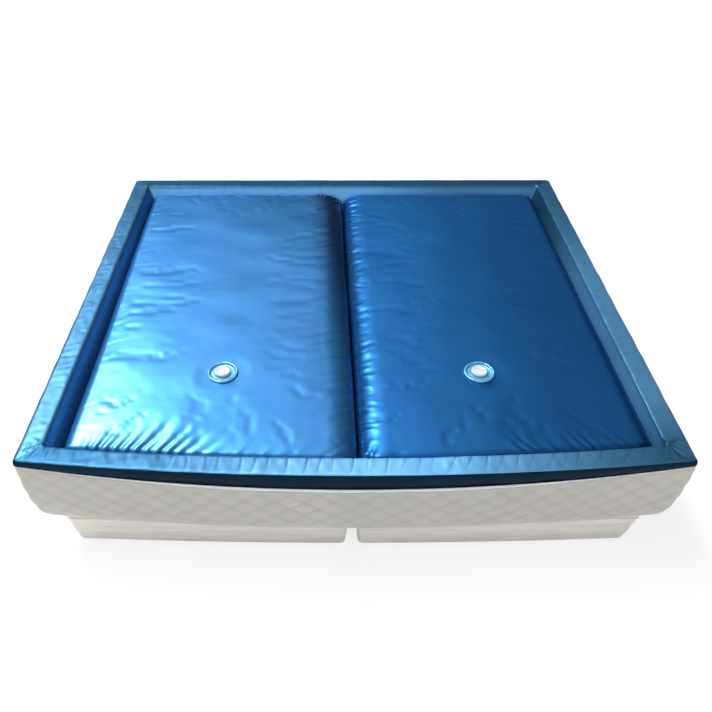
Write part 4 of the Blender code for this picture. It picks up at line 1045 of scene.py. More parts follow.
# Filling valves
class WATERBED_OT_valves(bpy.types.Operator):
    """Builds both filling valves: a flange with a raised rim, a threaded neck, plug, gasket and screw cap"""
    bl_idname = "waterbed.valves"
    bl_label = "Filling Valves"

    def execute(self, context):
        settings = context.scene.waterbed_valves
        flange_finish = vinyl("valve_vinyl", settings.flange_colour, 0.20, 0.35, 0.15, coat=1.0)
        cap_finish = moulded("valve_cap_plastic", settings.cap_colour, 0.32)
        seal_finish = moulded("gasket_rubber", settings.seal_colour, 0.7)
        for word, _ in SIDES:
            place = (*VALVE_PLACES[word][:2], VALVE_FOOT_Z)
            self.neck(word, place, flange_finish)
            self.plug(word, place, cap_finish)
            self.seal(word, place, seal_finish)
            self.cap(word, place, cap_finish, settings)
        return {"FINISHED"}

    def turned(self, name, profile, place, finish, body, steps, closed=False, shape=None):
        """A turned piece; a closed profile goes round, an open one gets a face at each end."""
        rings = lathe(profile, steps, place)
        if shape is not None:
            shape(rings)
        faces = band_faces(len(profile), steps, True, closed)
        if not closed:
            faces += [ring_face(len(profile) - 1, steps), ring_face(0, steps)[::-1]]
        return build_piece(name, rings.reshape(-1, 3), faces, finish, body)

    def neck(self, word, place, finish):
        arc = [(0.0512 + 0.0048 * math.cos(a), 0.0026 + 0.0050 * math.sin(a))
               for a in np.linspace(-0.5, math.pi + 0.4, 14)]
        thread = [(0.0205 - 0.0005 * (step % 2), 0.0030 + 0.0050 * step / 8) for step in range(9)]
        profile = ([(0.0206, -0.0060), (0.0206, 0.0), (0.0500, 0.0), (0.0545, 0.0001)] + arc
                   + [(0.0400, 0.0014), (0.0300, 0.0021), (0.0222, 0.0023), (0.0206, 0.0027)] + thread
                   + [(0.0200, 0.0085), (0.0170, 0.0085), (0.0165, 0.0080), (0.0165, -0.0040),
                      (0.0120, -0.0040), (0.0120, -0.0060)])

        def ripple(rings):
            _, radius, turn = polar(rings, place)
            wave = 0.0004 * np.sin(5 * turn + 0.8) + 0.0003 * np.sin(11 * turn)
            wave += 0.0034 * np.clip(np.cos(turn - math.radians(55)), 0, 1) ** 1.5
            rings[:, :, 2] += wave * smooth_step(0.030, 0.052, radius) * (rings[:, :, 2] > place[2] + 0.0004)

        neck = self.turned("filling_neck_" + word, profile, place, finish, "bed", 96, True, ripple)
        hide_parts("valve_neck_" + word)

    def plug(self, word, place, finish):
        profile = [(0.0158, -0.0037), (0.0160, -0.0030), (0.0158, 0.0010), (0.0160, 0.0024), (0.0155, 0.0035),
                   (0.0075, 0.0035), (0.0062, 0.0042), (0.0058, 0.0060), (0.0062, 0.0072), (0.0054, 0.0079)]
        plug = self.turned("bung_" + word, profile, place, finish, "plug_" + word, 48)
        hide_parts("valve_plug_" + word)

    def seal(self, word, place, finish):
        profile = [(0.0187 + 0.0018 * math.cos(a), 0.00955 + 0.00074 * math.sin(a))
                   for a in np.linspace(-math.pi, math.pi, 13)[:-1]]
        seal = self.turned("cap_gasket_" + word, profile, place, finish, "seal_" + word, 64, True)
        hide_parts("valve_seal_" + word)

    def cap(self, word, place, finish, settings):
        under, top = 0.0106, 0.0138
        profile = [(0.0010, under), (0.0213, under), (0.0213, 0.0042), (0.0284, 0.0042), (0.0290, 0.0048),
                   (0.0290, 0.0068), (0.0290, 0.0090), (0.0290, 0.0112), (0.0283, 0.0128), (0.0268, 0.0136)]
        profile += [(radius, top - dip) for radius, dip in (
            (0.0250, 0.0), (0.0225, 0.0), (0.0212, 0.0004), (0.0200, 0.0011), (0.0170, 0.0016),
            (0.0110, 0.0019), (0.0060, 0.0020), (0.0012, 0.0020))]

        def ribs(rings):
            offset, radius, turn = polar(rings, place)
            level = rings[:, :, 2] - place[2]
            grip = (radius > 0.0275) * (level > 0.0045) * (level < 0.0126)
            cut = settings.grip_depth * (0.5 + 0.5 * np.cos(settings.grip_count * turn)) * grip
            rings[:, :, :2] -= offset / np.maximum(radius, 0.0001)[:, :, None] * cut[:, :, None]
            bar = np.exp(-(offset[:, :, 1] / 0.0032) ** 2) * smooth_step(0.0215, 0.0170, radius)
            rings[:, :, 2] += 0.0017 * bar * (level > 0.0115)

        cap = self.turned("screw_cap_" + word, profile, place, finish, "cap_" + word, 144, False, ribs)
        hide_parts("valve_cap_" + word)


# Safety liner
TUB_WALL_FOOT = 0.195
TUB_WALL_LEAN = 0.4236
TUB_SHEET_Z = TUB_FLOOR_Z + 0.0015
BAND_STEPS = 8
BAND_OVERLAP = 0.008
BAND_INSET = 0.0005
BAND_HIDDEN_INSET = 0.0080
BAND_TOP_Z = RAIL_TOP_Z - 0.0135
BAND_WAVE = 0.0009
RAIL_ROUND = 0.0140
RAIL_WAVE = 0.0009
RAIL_RIPPLE = 0.00035
WALL_RIPPLE = 0.0005
DEEPEST_SAG = 0.0021
HIGHEST_FOLD = 0.0060
LINER_CLEARANCE = 0.0010
RAIL_INNER = 0.074
RAIL_OUTER = 0.008
MITRE_INNER = 0.078
MITRE_OUTER = 0.006
GATHERS_PER_CORNER = 9
CORNER_PLEATS = (-1.070, -1.052, -1.036, -1.018, -1.002, -0.985)


def rail_inset(height):
    """How far in from the mattress's edge the tub's leaning wall is."""
    return TUB_WALL_FOOT - TUB_WALL_LEAN * (height - TUB_FLOOR_Z)


def liner_section():
    """The liner's section, (inset, z), from the top of the outer side over a rail to the tub's floor."""
    outer = [(BAND_INSET + RAIL_ROUND * (1 - math.cos(a)), RAIL_TOP_Z - RAIL_ROUND * (1 - math.sin(a)))
             for a in np.linspace(0.15, math.pi / 2, 6)]
    top = [(inset, RAIL_TOP_Z) for inset in np.linspace(0.020, 0.066, 9)]
    inner = [(inset, RAIL_TOP_Z - drop) for inset, drop in (
        (0.0735, 0.0001), (0.0780, 0.0010), (0.0812, 0.0032), (0.0832, 0.0064))]
    wall = [(rail_inset(z - 0.0015) + 0.0023, z) for z in np.concatenate((
        np.linspace(0.4560, 0.3900, 9), np.linspace(0.3700, TUB_FLOOR_Z + 0.0060, 5)))]
    floor = [(0.1985, TUB_FLOOR_Z + 0.0020), (0.2060, TUB_SHEET_Z)]
    return outer + top + inner + wall + floor


class WATERBED_OT_liner(bpy.types.Operator):
    """Builds the safety liner: one vinyl sheet over tub floor, walls and rail tops, its outer band near-black
    as painted shade
    """
    bl_idname = "waterbed.liner"
    bl_label = "Safety Liner"

    def execute(self, context):
        settings = context.scene.waterbed_liner
        counts = ring_counts(settings.column_pitch)
        edge = mattress_ring(BAND_INSET, CORNER, counts)
        hidden = mattress_ring(BAND_HIDDEN_INSET, CORNER, counts)
        foot = zip_height(edge[:, 0], edge[:, 1]) - BAND_OVERLAP
        rings = []
        for share in np.arange(BAND_STEPS) / BAND_STEPS:
            plan = hidden + (edge - hidden) * smooth_step(0.0, 0.75, share)
            rings.append(at_level(plan, foot + (BAND_TOP_Z - foot) * share))
        band_rows = len(rings) + 3
        section = liner_section()
        rings += [at_level(mattress_ring(inset, CORNER, counts), height) for inset, height in section]
        rings = np.array(rings)
        insets = np.array([0.004] * BAND_STEPS + [inset for inset, _ in section])
        lines = self.crease(rings, insets, band_rows, settings)
        centre = np.array([0.0, 0.02])
        lid = [at_level(centre + (rings[-1][:, :2] - centre) * share, TUB_SHEET_Z)
               for share in (0.75, 0.5, 0.25, 0.02)]
        rings = np.concatenate((rings, np.array(lid)))
        rows, count = rings.shape[:2]
        faces = band_faces(rows, count, True) + [ring_face(rows - 1, count)]
        top = vinyl("liner_vinyl", settings.top_colour, 0.35, 0.60, 0.6, True, specular=0.10)
        # Near-black painted shade for the liner's outer band
        band = vinyl("border_band_painted_shade", settings.band_shade_colour, 0.55, 0.0, 1.0, specular=0.08)
        liner = build_piece("safety_liner", rings.reshape(-1, 3), faces, top)
        liner.data.materials.append(band)
        shade = self.shade(rings.reshape(-1, 3))
        # Painted shade in the rail tops' creases and gathers, multiplied into the liner's painted shading
        shade[:len(lines)] *= 1 - 0.6 * lines
        add_field(liner.data, "shade", shade)
        marks = np.zeros(len(faces), int)
        marks[:band_rows * count] = 1
        liner.data.polygons.foreach_set("material_index", marks)
        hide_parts("liner")
        return {"FINISHED"}

    def crease(self, rings, insets, band_rows, settings):
        """Moves rail tops, band and walls by sag, creases and gathers; returns the painted shade for the
        creases and the gathers' valleys.
        """
        flat = rings.reshape(-1, 3)
        plan = flat[:, :2]
        inset = np.repeat(insets, rings.shape[1])
        on_top = smooth_step(0.003, 0.018, inset) * (1 - smooth_step(0.080, 0.100, inset))
        upright = np.repeat(np.arange(len(insets)) < band_rows, rings.shape[1])
        lift = plane_waves(81, plan, 24, 0.10, 0.60) * RAIL_WAVE
        lift += plane_waves(82, plan, 20, 0.03, 0.08) * RAIL_RIPPLE
        creases, gathers = self.folds(settings), self.corner_folds(settings)
        lift += fold_field(plan, creases, even_fold)
        lift += fold_field(plan, gathers)
        most = np.where(lift < 0, DEEPEST_SAG, HIGHEST_FOLD)
        lift = most * np.tanh(lift / most) + LINER_CLEARANCE
        flat[:, 2] += lift * on_top
        wave = plane_waves(83, np.column_stack((plan[:, 0] + plan[:, 1], flat[:, 2] * 2.2)), 20, 0.06, 0.50)
        out = np.where(upright, wave * BAND_WAVE, 0.0)
        away = plan - PLAN_MIDDLE
        beside = np.abs(away[:, 0]) / HALF_WIDTH > np.abs(away[:, 1])
        flat[:, 0] += np.where(beside, np.sign(away[:, 0]) * out, 0.0)
        flat[:, 1] += np.where(beside, 0.0, np.sign(away[:, 1]) * out)
        wall = smooth_step(0.080, 0.090, inset) * (1 - smooth_step(0.17, 0.19, inset))
        ripple = np.abs(plane_waves(84, plan, 20, 0.08, 0.40)) * WALL_RIPPLE * wall
        flat[:, 0] -= np.where(beside, np.sign(away[:, 0]) * ripple, 0.0)
        # Painted shade in the creases and in the gathers' valleys
        dark = -fold_field(plan, creases, even_fold) / settings.crease_height
        dark += fold_field(plan, gathers, fold_valley) / settings.gather_height
        return np.clip(dark, 0, 1) * on_top

    def shade(self, points):
        """Painted shading of the liner: a painted highlight at the middle of the front rail, painted shade
        toward the rear, on the right and along the right rail's inner edge.
        """
        x, y = points[:, 0], points[:, 1]
        toward = {"left": HALF_WIDTH + x, "right": HALF_WIDTH - x, "rear": REAR_Y - y,
                  "front": y + front_bow(x) - FRONT_Y}
        nearest = np.minimum.reduce(list(toward.values()))
        share = {side: np.exp((nearest - away) / 0.003) for side, away in toward.items()}
        wall = smooth_step(0.078, 0.088, nearest)
        deeper = smooth_step(0.0, 1.0, y)
        # Painted shade on the left rail, deeper toward the rear
        left = 0.31 - 0.14 * deeper + 0.05 * wall
        right = 0.50 - 0.30 * smooth_step(0.0, 0.8, y) - 0.26 * smooth_step(-0.60, -0.95, y)
        right -= wall * (0.02 + 0.12 * smooth_step(-0.1, 0.5, y))
        # Painted shade along the right rail's inner edge, damping its highlight
        right *= 1 - 0.70 * np.exp(-((nearest - 0.0800) / 0.0045) ** 2)
        # Painted highlight at the middle of the front rail, painted shade toward its ends
        front = 0.09 + 0.90 * np.exp(-((x - 0.16) / 0.54) ** 2)
        # Painted shade on the rear rail's top, its wall paler at the left
        rear = 0.09 + wall * (0.86 - 0.52 * smooth_step(0.0, 0.6, x))
        shades = {"left": left, "right": right, "front": front, "rear": rear}
        shade = sum(share[side] * shades[side] for side in share) / sum(share.values())
        return np.clip(shade, 0.05, 1.0)

    def folds(self, settings):
        """Creases across the four rails."""
        pick = np.random.default_rng(91)
        folds = []
        for x in np.arange(-0.95, 0.97, 0.052):
            x = x + pick.uniform(-0.012, 0.012)
            y = FRONT_Y - float(front_bow(x))
            lean = 0.010 + 0.018 * x + pick.uniform(-0.006, 0.006)
            height = -settings.crease_height * pick.uniform(0.5, 1.2)
            folds.append(((x + lean, y + RAIL_INNER), (x - lean, y + 0.006), 0.0034, height, 0.05))

        def across(places, jitter):
            """Places along a rail, each with the lean and the height of its crease."""
            for place in places:
                place += pick.uniform(-jitter, jitter)
                yield place, pick.uniform(-0.02, 0.02), -settings.crease_height * pick.uniform(0.2, 0.7)

        for side in (-1, 1):
            inner, outer = side * (HALF_WIDTH - RAIL_INNER), side * (HALF_WIDTH - RAIL_OUTER)
            for y, lean, height in across(np.arange(-0.80, 0.95, 0.090), 0.03):
                folds.append(((inner, y + lean), (outer, y - lean), 0.0050, height, 0.0))
        inner, outer = REAR_Y - RAIL_INNER, REAR_Y - RAIL_OUTER
        for x, lean, height in across(np.arange(-0.92, 0.93, 0.080), 0.02):
            folds.append(((x + lean, inner), (x - lean, outer), 0.0050, height, 0.0))
        return folds

    def corner_folds(self, settings):
        """Mitre creases and the gathers that fan out round them."""
        pick = np.random.default_rng(92)
        gather = settings.gather_height
        folds = []
        for side in (-1, 1):
            for end, far_y in ((-1, FRONT_Y), (1, REAR_Y)):
                inner = (side * (HALF_WIDTH - MITRE_INNER), far_y - end * MITRE_INNER)
                outer = (side * (HALF_WIDTH - MITRE_OUTER), far_y - end * MITRE_OUTER)
                strength = (0.8 if side < 0 else 1.7) if end < 0 else 0.5
                folds.append((inner, outer, 0.0042, -gather * strength * 0.7, 0.0))
                for number in range(GATHERS_PER_CORNER):
                    turn = math.radians(-78 + number * 19.5 + pick.uniform(-6, 6))
                    way = np.array([side, end]) / math.sqrt(2)
                    way = np.array([way[0] * math.cos(turn) - way[1] * math.sin(turn),
                                    way[0] * math.sin(turn) + way[1] * math.cos(turn)])
                    length = pick.uniform(0.06, 0.13)
                    start = np.array(inner) + way * 0.006
                    height = gather * pick.uniform(0.35, 0.9) * strength
                    folds.append((start, start + way * length, 0.0050, height, pick.uniform(-0.1, 0.1)))
        for x in CORNER_PLEATS:
            y = FRONT_Y - float(front_bow(x))
            folds.append(((x + 0.004, y + 0.070), (x - 0.006, y + 0.008), 0.0042, gather * 0.8, 0.05))
        return folds


# Quilted cover
COVER_ROWS = (28, 12)
COVER_WALL = 0.006
COVER_WAVE = 0.0012
SEAM_REACH = 0.020
TUCK_REACH = (0.020, 0.050)
FLAT_PUFF = 0.35
MEAN_PUFF = 0.55
COVER_OVERLAP = 0.0001


class WATERBED_OT_cover(bpy.types.Operator):
    """Builds the quilted lower cover with its diamonds, stitching and tucked lower edge"""
    bl_idname = "waterbed.cover"
    bl_label = "Quilted Cover"

    def execute(self, context):
        settings = context.scene.waterbed_cover
        counts = ring_counts(settings.column_pitch)
        profile = np.array([(0.0, 0.0), (0.0010, 0.10), (0.0020, 0.38), (0.0045, 0.56), (0.0100, 0.74),
                            (0.0150, 0.85), (0.0225, 0.935), (0.0330, 0.982), (0.0450, 1.0)])
        wall_rows, tuck_rows = COVER_ROWS
        shares = np.concatenate((np.linspace(0.0, 0.84, wall_rows), np.linspace(0.86, 1.0, tuck_rows)))
        insets = resample(profile[:, :1], profile[:, 1], shares)[:, 0]
        edge = mattress_ring(0.0, CORNER, counts)
        shown = (TAPE_SHOWN + COVER_OVERLAP) * tape_share(edge[:, 0], edge[:, 1])
        head = zip_height(edge[:, 0], edge[:, 1]) - shown
        run, girth = run_length(edge)
        rings = []
        for inset, share in zip(insets, shares):
            plan = mattress_ring(inset, CORNER + inset * 0.5, counts)
            rings.append(at_level(plan, head + (COVER_FOOT_Z - head) * share))
        rings = np.array(rings)
        count = rings.shape[1]
        across = round(girth / settings.diamond_width)
        turns = run / girth * across
        rise = (rings[:, :, 2] - COVER_FOOT_Z) / settings.diamond_height
        first = turns[None, :] + rise
        second = turns[None, :] - rise
        part_a, part_b = first % 1.0, second % 1.0
        puff = (16 * part_a * (1 - part_a) * part_b * (1 - part_b)) ** 0.45
        level = rings[:, :, 2]
        seam = 1 - smooth_step(0.0, SEAM_REACH, head[None, :] - level)
        foot = 1 - smooth_step(*TUCK_REACH, level - COVER_FOOT_Z)
        sewn = (1 - seam) * (1 - foot)
        puff = puff * sewn + FLAT_PUFF * (1 - sewn)
        points = rings.reshape(-1, 3)
        plan = np.column_stack((np.tile(run, len(shares)), points[:, 2]))
        uneven = plane_waves(101, plan, 24, 0.10, 0.50) * COVER_WAVE
        inner = rings[-1][:, :2]
        centre = np.array([0.0, 0.03])
        lid = [at_level(centre + (inner - centre) * share, COVER_FOOT_Z) for share in (0.93, 0.6, 0.3, 0.02)]
        all_points = np.concatenate((points, np.array(lid).reshape(-1, 3)))
        total = len(shares) + len(lid)
        faces = band_faces(total, count, False) + [ring_face(total - 1, count)[::-1]]
        finish = quilted_fabric(settings.fabric_colour, settings.thread_colour)
        cover = build_piece("quilted_cover", all_points, faces, finish)
        normals = mesh_normals(cover.data)
        extra = count * len(lid)
        lift = (puff.ravel() - MEAN_PUFF) * settings.puff_height + uneven * sewn.ravel()
        lift = np.concatenate((lift, np.zeros(extra)))
        normals[:, 2] *= 0.4
        move_points(cover.data, all_points + normals * lift[:, None])
        quilt = np.column_stack((first.ravel(), second.ravel(), np.zeros(len(points))))
        add_field(cover.data, "quilt", np.concatenate((quilt, np.zeros((extra, 3)))), "FLOAT_VECTOR")
        add_field(cover.data, "sewn", np.concatenate((sewn.ravel(), np.zeros(extra))))
        wall = cover.modifiers.new("Quilt", "SOLIDIFY")
        wall.thickness = COVER_WALL
        wall.offset = -1
        apply_modifiers(cover)
        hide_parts("cover_lower")
        return {"FINISHED"}


# Zip
class WATERBED_OT_zip(bpy.types.Operator):
    """Builds the zip half on the cover: woven tape, moulded teeth, slider and pull tab"""
    bl_idname = "waterbed.zip"
    bl_label = "Zip"

    def execute(self, context):
        settings = context.scene.waterbed_zip
        plan = mattress_ring(ZIP_INSET, CORNER, ZIP_COUNTS)
        run, girth = run_length(plan)
        head = zip_height(plan[:, 0], plan[:, 1])
        away = plan - PLAN_MIDDLE
        away /= np.linalg.norm(away, axis=1)[:, None]
        rings, weave = [], []
        profile = ((0.0004, -TAPE_SHOWN), (0.0, -0.0110), (0.0002, -0.0060), (0.0004, -0.0020), (0.0008, 0.0),
                   (0.0022, 0.0), (0.0030, -0.0020), (0.0030, -TAPE_SHOWN))
        shown = tape_share(plan[:, 0], plan[:, 1])
        wobble = 0.0006 * np.sin(run / 0.052) + 0.0005 * np.sin(run / 0.021 + 1.0)
        for inset, level in profile:
            ring = plan - away * (inset - wobble[:, None] * 0.5)
            rings.append(at_level(ring, head + level * (shown if level < -0.003 else 1.0)))
            weave.append(np.column_stack((run, np.full(len(run), level), np.zeros(len(run)))))
        rings = np.array(rings)
        count = rings.shape[1]
        faces = band_faces(len(profile), count, True, True)
        tape = build_piece("zip_tape_woven", rings.reshape(-1, 3), faces, zip_weave(settings.tape_colour))
        add_field(tape.data, "weave", np.array(weave).reshape(-1, 3), "FLOAT_VECTOR")
        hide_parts("zip_tape")
        self.teeth(plan, run, girth, head, away, settings)
        metal = cast_metal("plated_metal", settings.metal_colour)
        for node in ("zip_slider", "zip_pull_tab"):
            wear_finish(node, metal)
        return {"FINISHED"}

    def teeth(self, plan, run, girth, head, away, settings):
        """Teeth along the tape's top edge, left out where the slider stands at the ends of its run."""
        count = round(girth / settings.tooth_pitch)
        at = girth * (np.arange(count) + 0.5) / count
        loop = np.append(run, girth)

        def along(values):
            return np.interp(at, loop, np.append(values, values[0]))

        x, y, z = along(plan[:, 0]), along(plan[:, 1]), along(head)
        out = np.column_stack((along(away[:, 0]), along(away[:, 1])))
        normal = out / np.linalg.norm(out, axis=1)[:, None]
        parked = (np.abs(np.abs(x) - SLIDER_STOP_X) < SLIDER_ROOM) & (y > 0.9)
        x, y, z, normal = x[~parked], y[~parked], z[~parked], normal[~parked]
        tangent = np.column_stack((-normal[:, 1], normal[:, 0]))
        half = settings.tooth_pitch * TOOTH_SHARE
        corners = []
        for rise, swell in TOOTH_LEVELS:
            for way, depth in ((-1, TOOTH_OUT), (1, TOOTH_OUT), (1, TOOTH_IN), (-1, TOOTH_IN)):
                plan_point = np.column_stack((x, y)) + tangent * way * half * swell + normal * depth * swell
                corners.append(at_level(plan_point, z + rise))
        points = np.stack(corners, 1).reshape(-1, 3)
        template = band_faces(3, 4, True) + [(8, 9, 10, 11), (3, 2, 1, 0)]
        faces = (np.array(template)[None] + np.arange(len(x))[:, None, None] * 12).reshape(-1, 4)
        finish = moulded("zip_tooth_plastic", settings.tooth_colour, 0.35)
        teeth = build_piece("zip_teeth", points, faces, finish)
        teeth.data.shade_flat()


def wear_finish(node, finish):
    """Gives a carried-over CAD node its finish."""
    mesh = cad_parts[node].data
    mesh.materials.clear()
    mesh.materials.append(finish)


# Soft pieces inside the tub and base
WELD_REACH = 0.0001
BEVEL_ANGLE = math.radians(35)
SHARP_ANGLE = math.radians(50)


def soft_copy(node, name, finish, edge, unevenness, seed):
    """A foam or fibre piece in its CAD solid's space: rounded edges and slightly uneven faces."""
    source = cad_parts[node]
    piece = bpy.data.objects.new(name, source.data.copy())
    piece.data.materials.clear()
    piece.data.materials.append(finish)
    bpy.context.scene.collection.objects.link(piece)
    weld = piece.modifiers.new("Weld", "WELD")
    weld.merge_threshold = WELD_REACH
    if edge > 0:
        bevel = piece.modifiers.new("Edge", "BEVEL")
        bevel.width = edge
        bevel.segments = 3
        bevel.limit_method = "ANGLE"
        bevel.angle_limit = BEVEL_ANGLE
        bevel.use_clamp_overlap = True
    apply_modifiers(piece)
    points = mesh_points(piece.data)
    normals = mesh_normals(piece.data)
    shift = plane_waves(seed, points[:, :2] + points[:, 2:] * 0.7, 20, 0.05, 0.30) * unevenness
    move_points(piece.data, points - normals * np.abs(shift)[:, None])
    piece.data.shade_smooth()
    piece.data.set_sharp_from_angle(angle=SHARP_ANGLE)
    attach(piece, "bed")
    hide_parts(node)
    return piece


class WATERBED_OT_tub(bpy.types.Operator):
    """Dresses the foam tub: rails, floor pad, divider, heater pads and their lead blocks"""
    bl_idname = "waterbed.tub"
    bl_label = "Foam Tub and Heaters"

    def execute(self, context):
        settings = context.scene.waterbed_tub
        foam = cut_foam("cut_foam", settings.foam_colour)
        pieces = [("rail_" + side, "foam_rail_" + side) for side in ("front", "rear", "left", "right")]
        pieces += [("divider_wedge", "foam_divider"), ("foam_floor_pad", "foam_pad")]
        for number, (node, name) in enumerate(pieces):
            edge = 0.0015 if node == "foam_floor_pad" else settings.edge_round
            soft_copy(node, name, foam, edge, 0.0004, 111 + number)
        heater = moulded("heater_vinyl", settings.heater_colour, 0.5)
        for word, _ in SIDES:
            wear_finish("heater_pad_" + word, heater)
            wear_finish("heater_lead_block_" + word, heater)
        return {"FINISHED"}


# Base
BASE_COUNTS = (120, 220, 8)
BASE_CORNER = 0.018
BASE_BOW = 0.028
BASE_GAP_HALF = 0.0113
BASE_GAP_LEAN = 0.012
BASE_SIDE_SETBACK = 0.088
BASE_FRONT_SETBACK = 0.030
BASE_REAR_SETBACK = 0.060
CLOTH_TOP_Z = 0.1641
CLOTH_LEAN = 0.021
CLOTH_THICKNESS = 0.0016
HEM_SEAM_Z = 0.030


class WATERBED_OT_base(bpy.types.Operator):
    """Dresses both base halves: stretched cloth with a hem, boards, deck, wadding and glides"""
    bl_idname = "waterbed.base"
    bl_label = "Base Halves"

    def execute(self, context):
        settings = context.scene.waterbed_base
        cloth = base_fabric(settings.fabric_colour, settings.seam_colour)
        wadding = fibre_mat("base_wadding_fibre", settings.wadding_colour)
        dark = tinted(settings.board_colour, 0.62)
        timber_x = timber("board_timber_across", settings.board_colour, dark, "x")
        timber_y = timber("board_timber_along", settings.board_colour, dark, "y")
        deck = timber("deck_ply", settings.deck_colour, tinted(settings.deck_colour, 0.72), "y")
        glide = moulded("glide_plastic", settings.glide_colour, 0.45)
        for word, side in SIDES:
            self.skirt(word, side, cloth, settings)
            piece = soft_copy("base_wadding_" + word, "front_wadding_" + word, wadding, 0.0, 0.0004,
                              121 + side)
            for board in ("front_board", "rear_board", "cross_board_1", "cross_board_2"):
                wear_finish("base_" + board + "_" + word, timber_x)
            for board in ("inner_board", "middle_board", "outer_board"):
                wear_finish("base_" + board + "_" + word, timber_y)
            for end in ("front", "rear"):
                wear_finish("base_deck_" + end + "_" + word, deck)
                for place in ("inner", "outer"):
                    wear_finish("base_glide_" + end + "_" + place + "_" + word, glide)
        return {"FINISHED"}

    def skirt(self, word, side, cloth, settings):
        hem, top = HEM_SEAM_Z, BASE_TOP_Z
        levels = np.concatenate((
            [BASE_HEM_Z, BASE_HEM_Z + 0.0012], np.linspace(BASE_HEM_Z + 0.004, hem - 0.002, 4),
            [hem - 0.0007, hem, hem + 0.0007], np.linspace(hem + 0.004, top - 0.008, 18),
            [top - 0.0045, top - 0.0022, top - 0.0006, top]))
        tucks = np.zeros(len(levels))
        tucks[:2] = (0.0016, 0.0004)
        tucks[6:9] = (0.0002, 0.0009, 0.0002)
        tucks[-4:] = (0.0002, 0.0008, 0.0018, 0.0034)
        tucks += 0.0008 * np.exp(-((levels - SEAM_Z) / 0.0030) ** 2)
        rings = []
        for level, tuck in zip(levels, tucks):
            taper = (CLOTH_TOP_Z - level) / (CLOTH_TOP_Z - BASE_HEM_Z)
            lean = CLOTH_LEAN * taper
            near = BASE_GAP_HALF + BASE_GAP_LEAN * taper + tuck
            far = HALF_WIDTH - BASE_SIDE_SETBACK - lean - tuck
            low = (min(side * near, side * far), FRONT_Y + BASE_FRONT_SETBACK + lean + tuck)
            high = (max(side * near, side * far), REAR_Y - BASE_REAR_SETBACK - lean - tuck)
            rings.append(at_level(closed_outline(low, high, BASE_CORNER, BASE_BOW, BASE_COUNTS), level))
        rings = np.array(rings)[::-1]
        rows, count = rings.shape[:2]
        points = rings.reshape(-1, 3)
        skirt = build_piece("base_cloth_" + word, points, band_faces(rows, count, False), cloth)
        normals = mesh_normals(skirt.data)
        run, girth = run_length(rings[rows // 2][:, :2])
        spread = np.column_stack((np.tile(run, rows) * 0.28, points[:, 2]))
        middle = smooth_step(hem + 0.002, hem + 0.020, points[:, 2])
        middle *= 1 - smooth_step(0.140, 0.158, points[:, 2])
        drape = plane_waves(131 + side, spread, 26, 0.018, 0.090) * settings.drape_height * middle
        drape += plane_waves(133 + side, spread * np.array([3.0, 1.0]), 10, 0.05, 0.2) * 0.0004 * middle
        move_points(skirt.data, points + normals * drape[:, None])
        add_field(skirt.data, "top_seam", np.exp(-((points[:, 2] - SEAM_Z) / 0.0024) ** 2))
        thick = skirt.modifiers.new("Cloth", "SOLIDIFY")
        thick.thickness = CLOTH_THICKNESS
        thick.offset = -1
        apply_modifiers(skirt)
        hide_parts("base_skirt_" + word)


# Stage
FLOOR_REACH = 60.0
PHOTO_SIZE = 712.0
PHOTO_MIDDLE = (322.5, 358.3)
CAMERA_PLACE = (-0.098, -2.508, 2.186)
CAMERA_TURNS = (39.96, -0.17, -0.15)
LAMP_PLACE = (-2.6, 0.6, 4.2)
LAMP_AIM = (0.0, 0.0, 0.3)
LAMP_SIZE = (2.4, 2.4)
WHITE_SHARE = 0.80

# Where zones of the studio's light begin and end, by a ray's direction
BEHIND = (-0.35, 0.15)
WINDOW_SIDES = ((0.25, 0.33), (0.38, 0.58))
WINDOW_SILL = (0.56, 0.66)
WINDOW_BRIGHT = (0.66, 0.73)
FRONT_DIMMED = (0.35, 0.95)
BRIGHTEST = 100.0


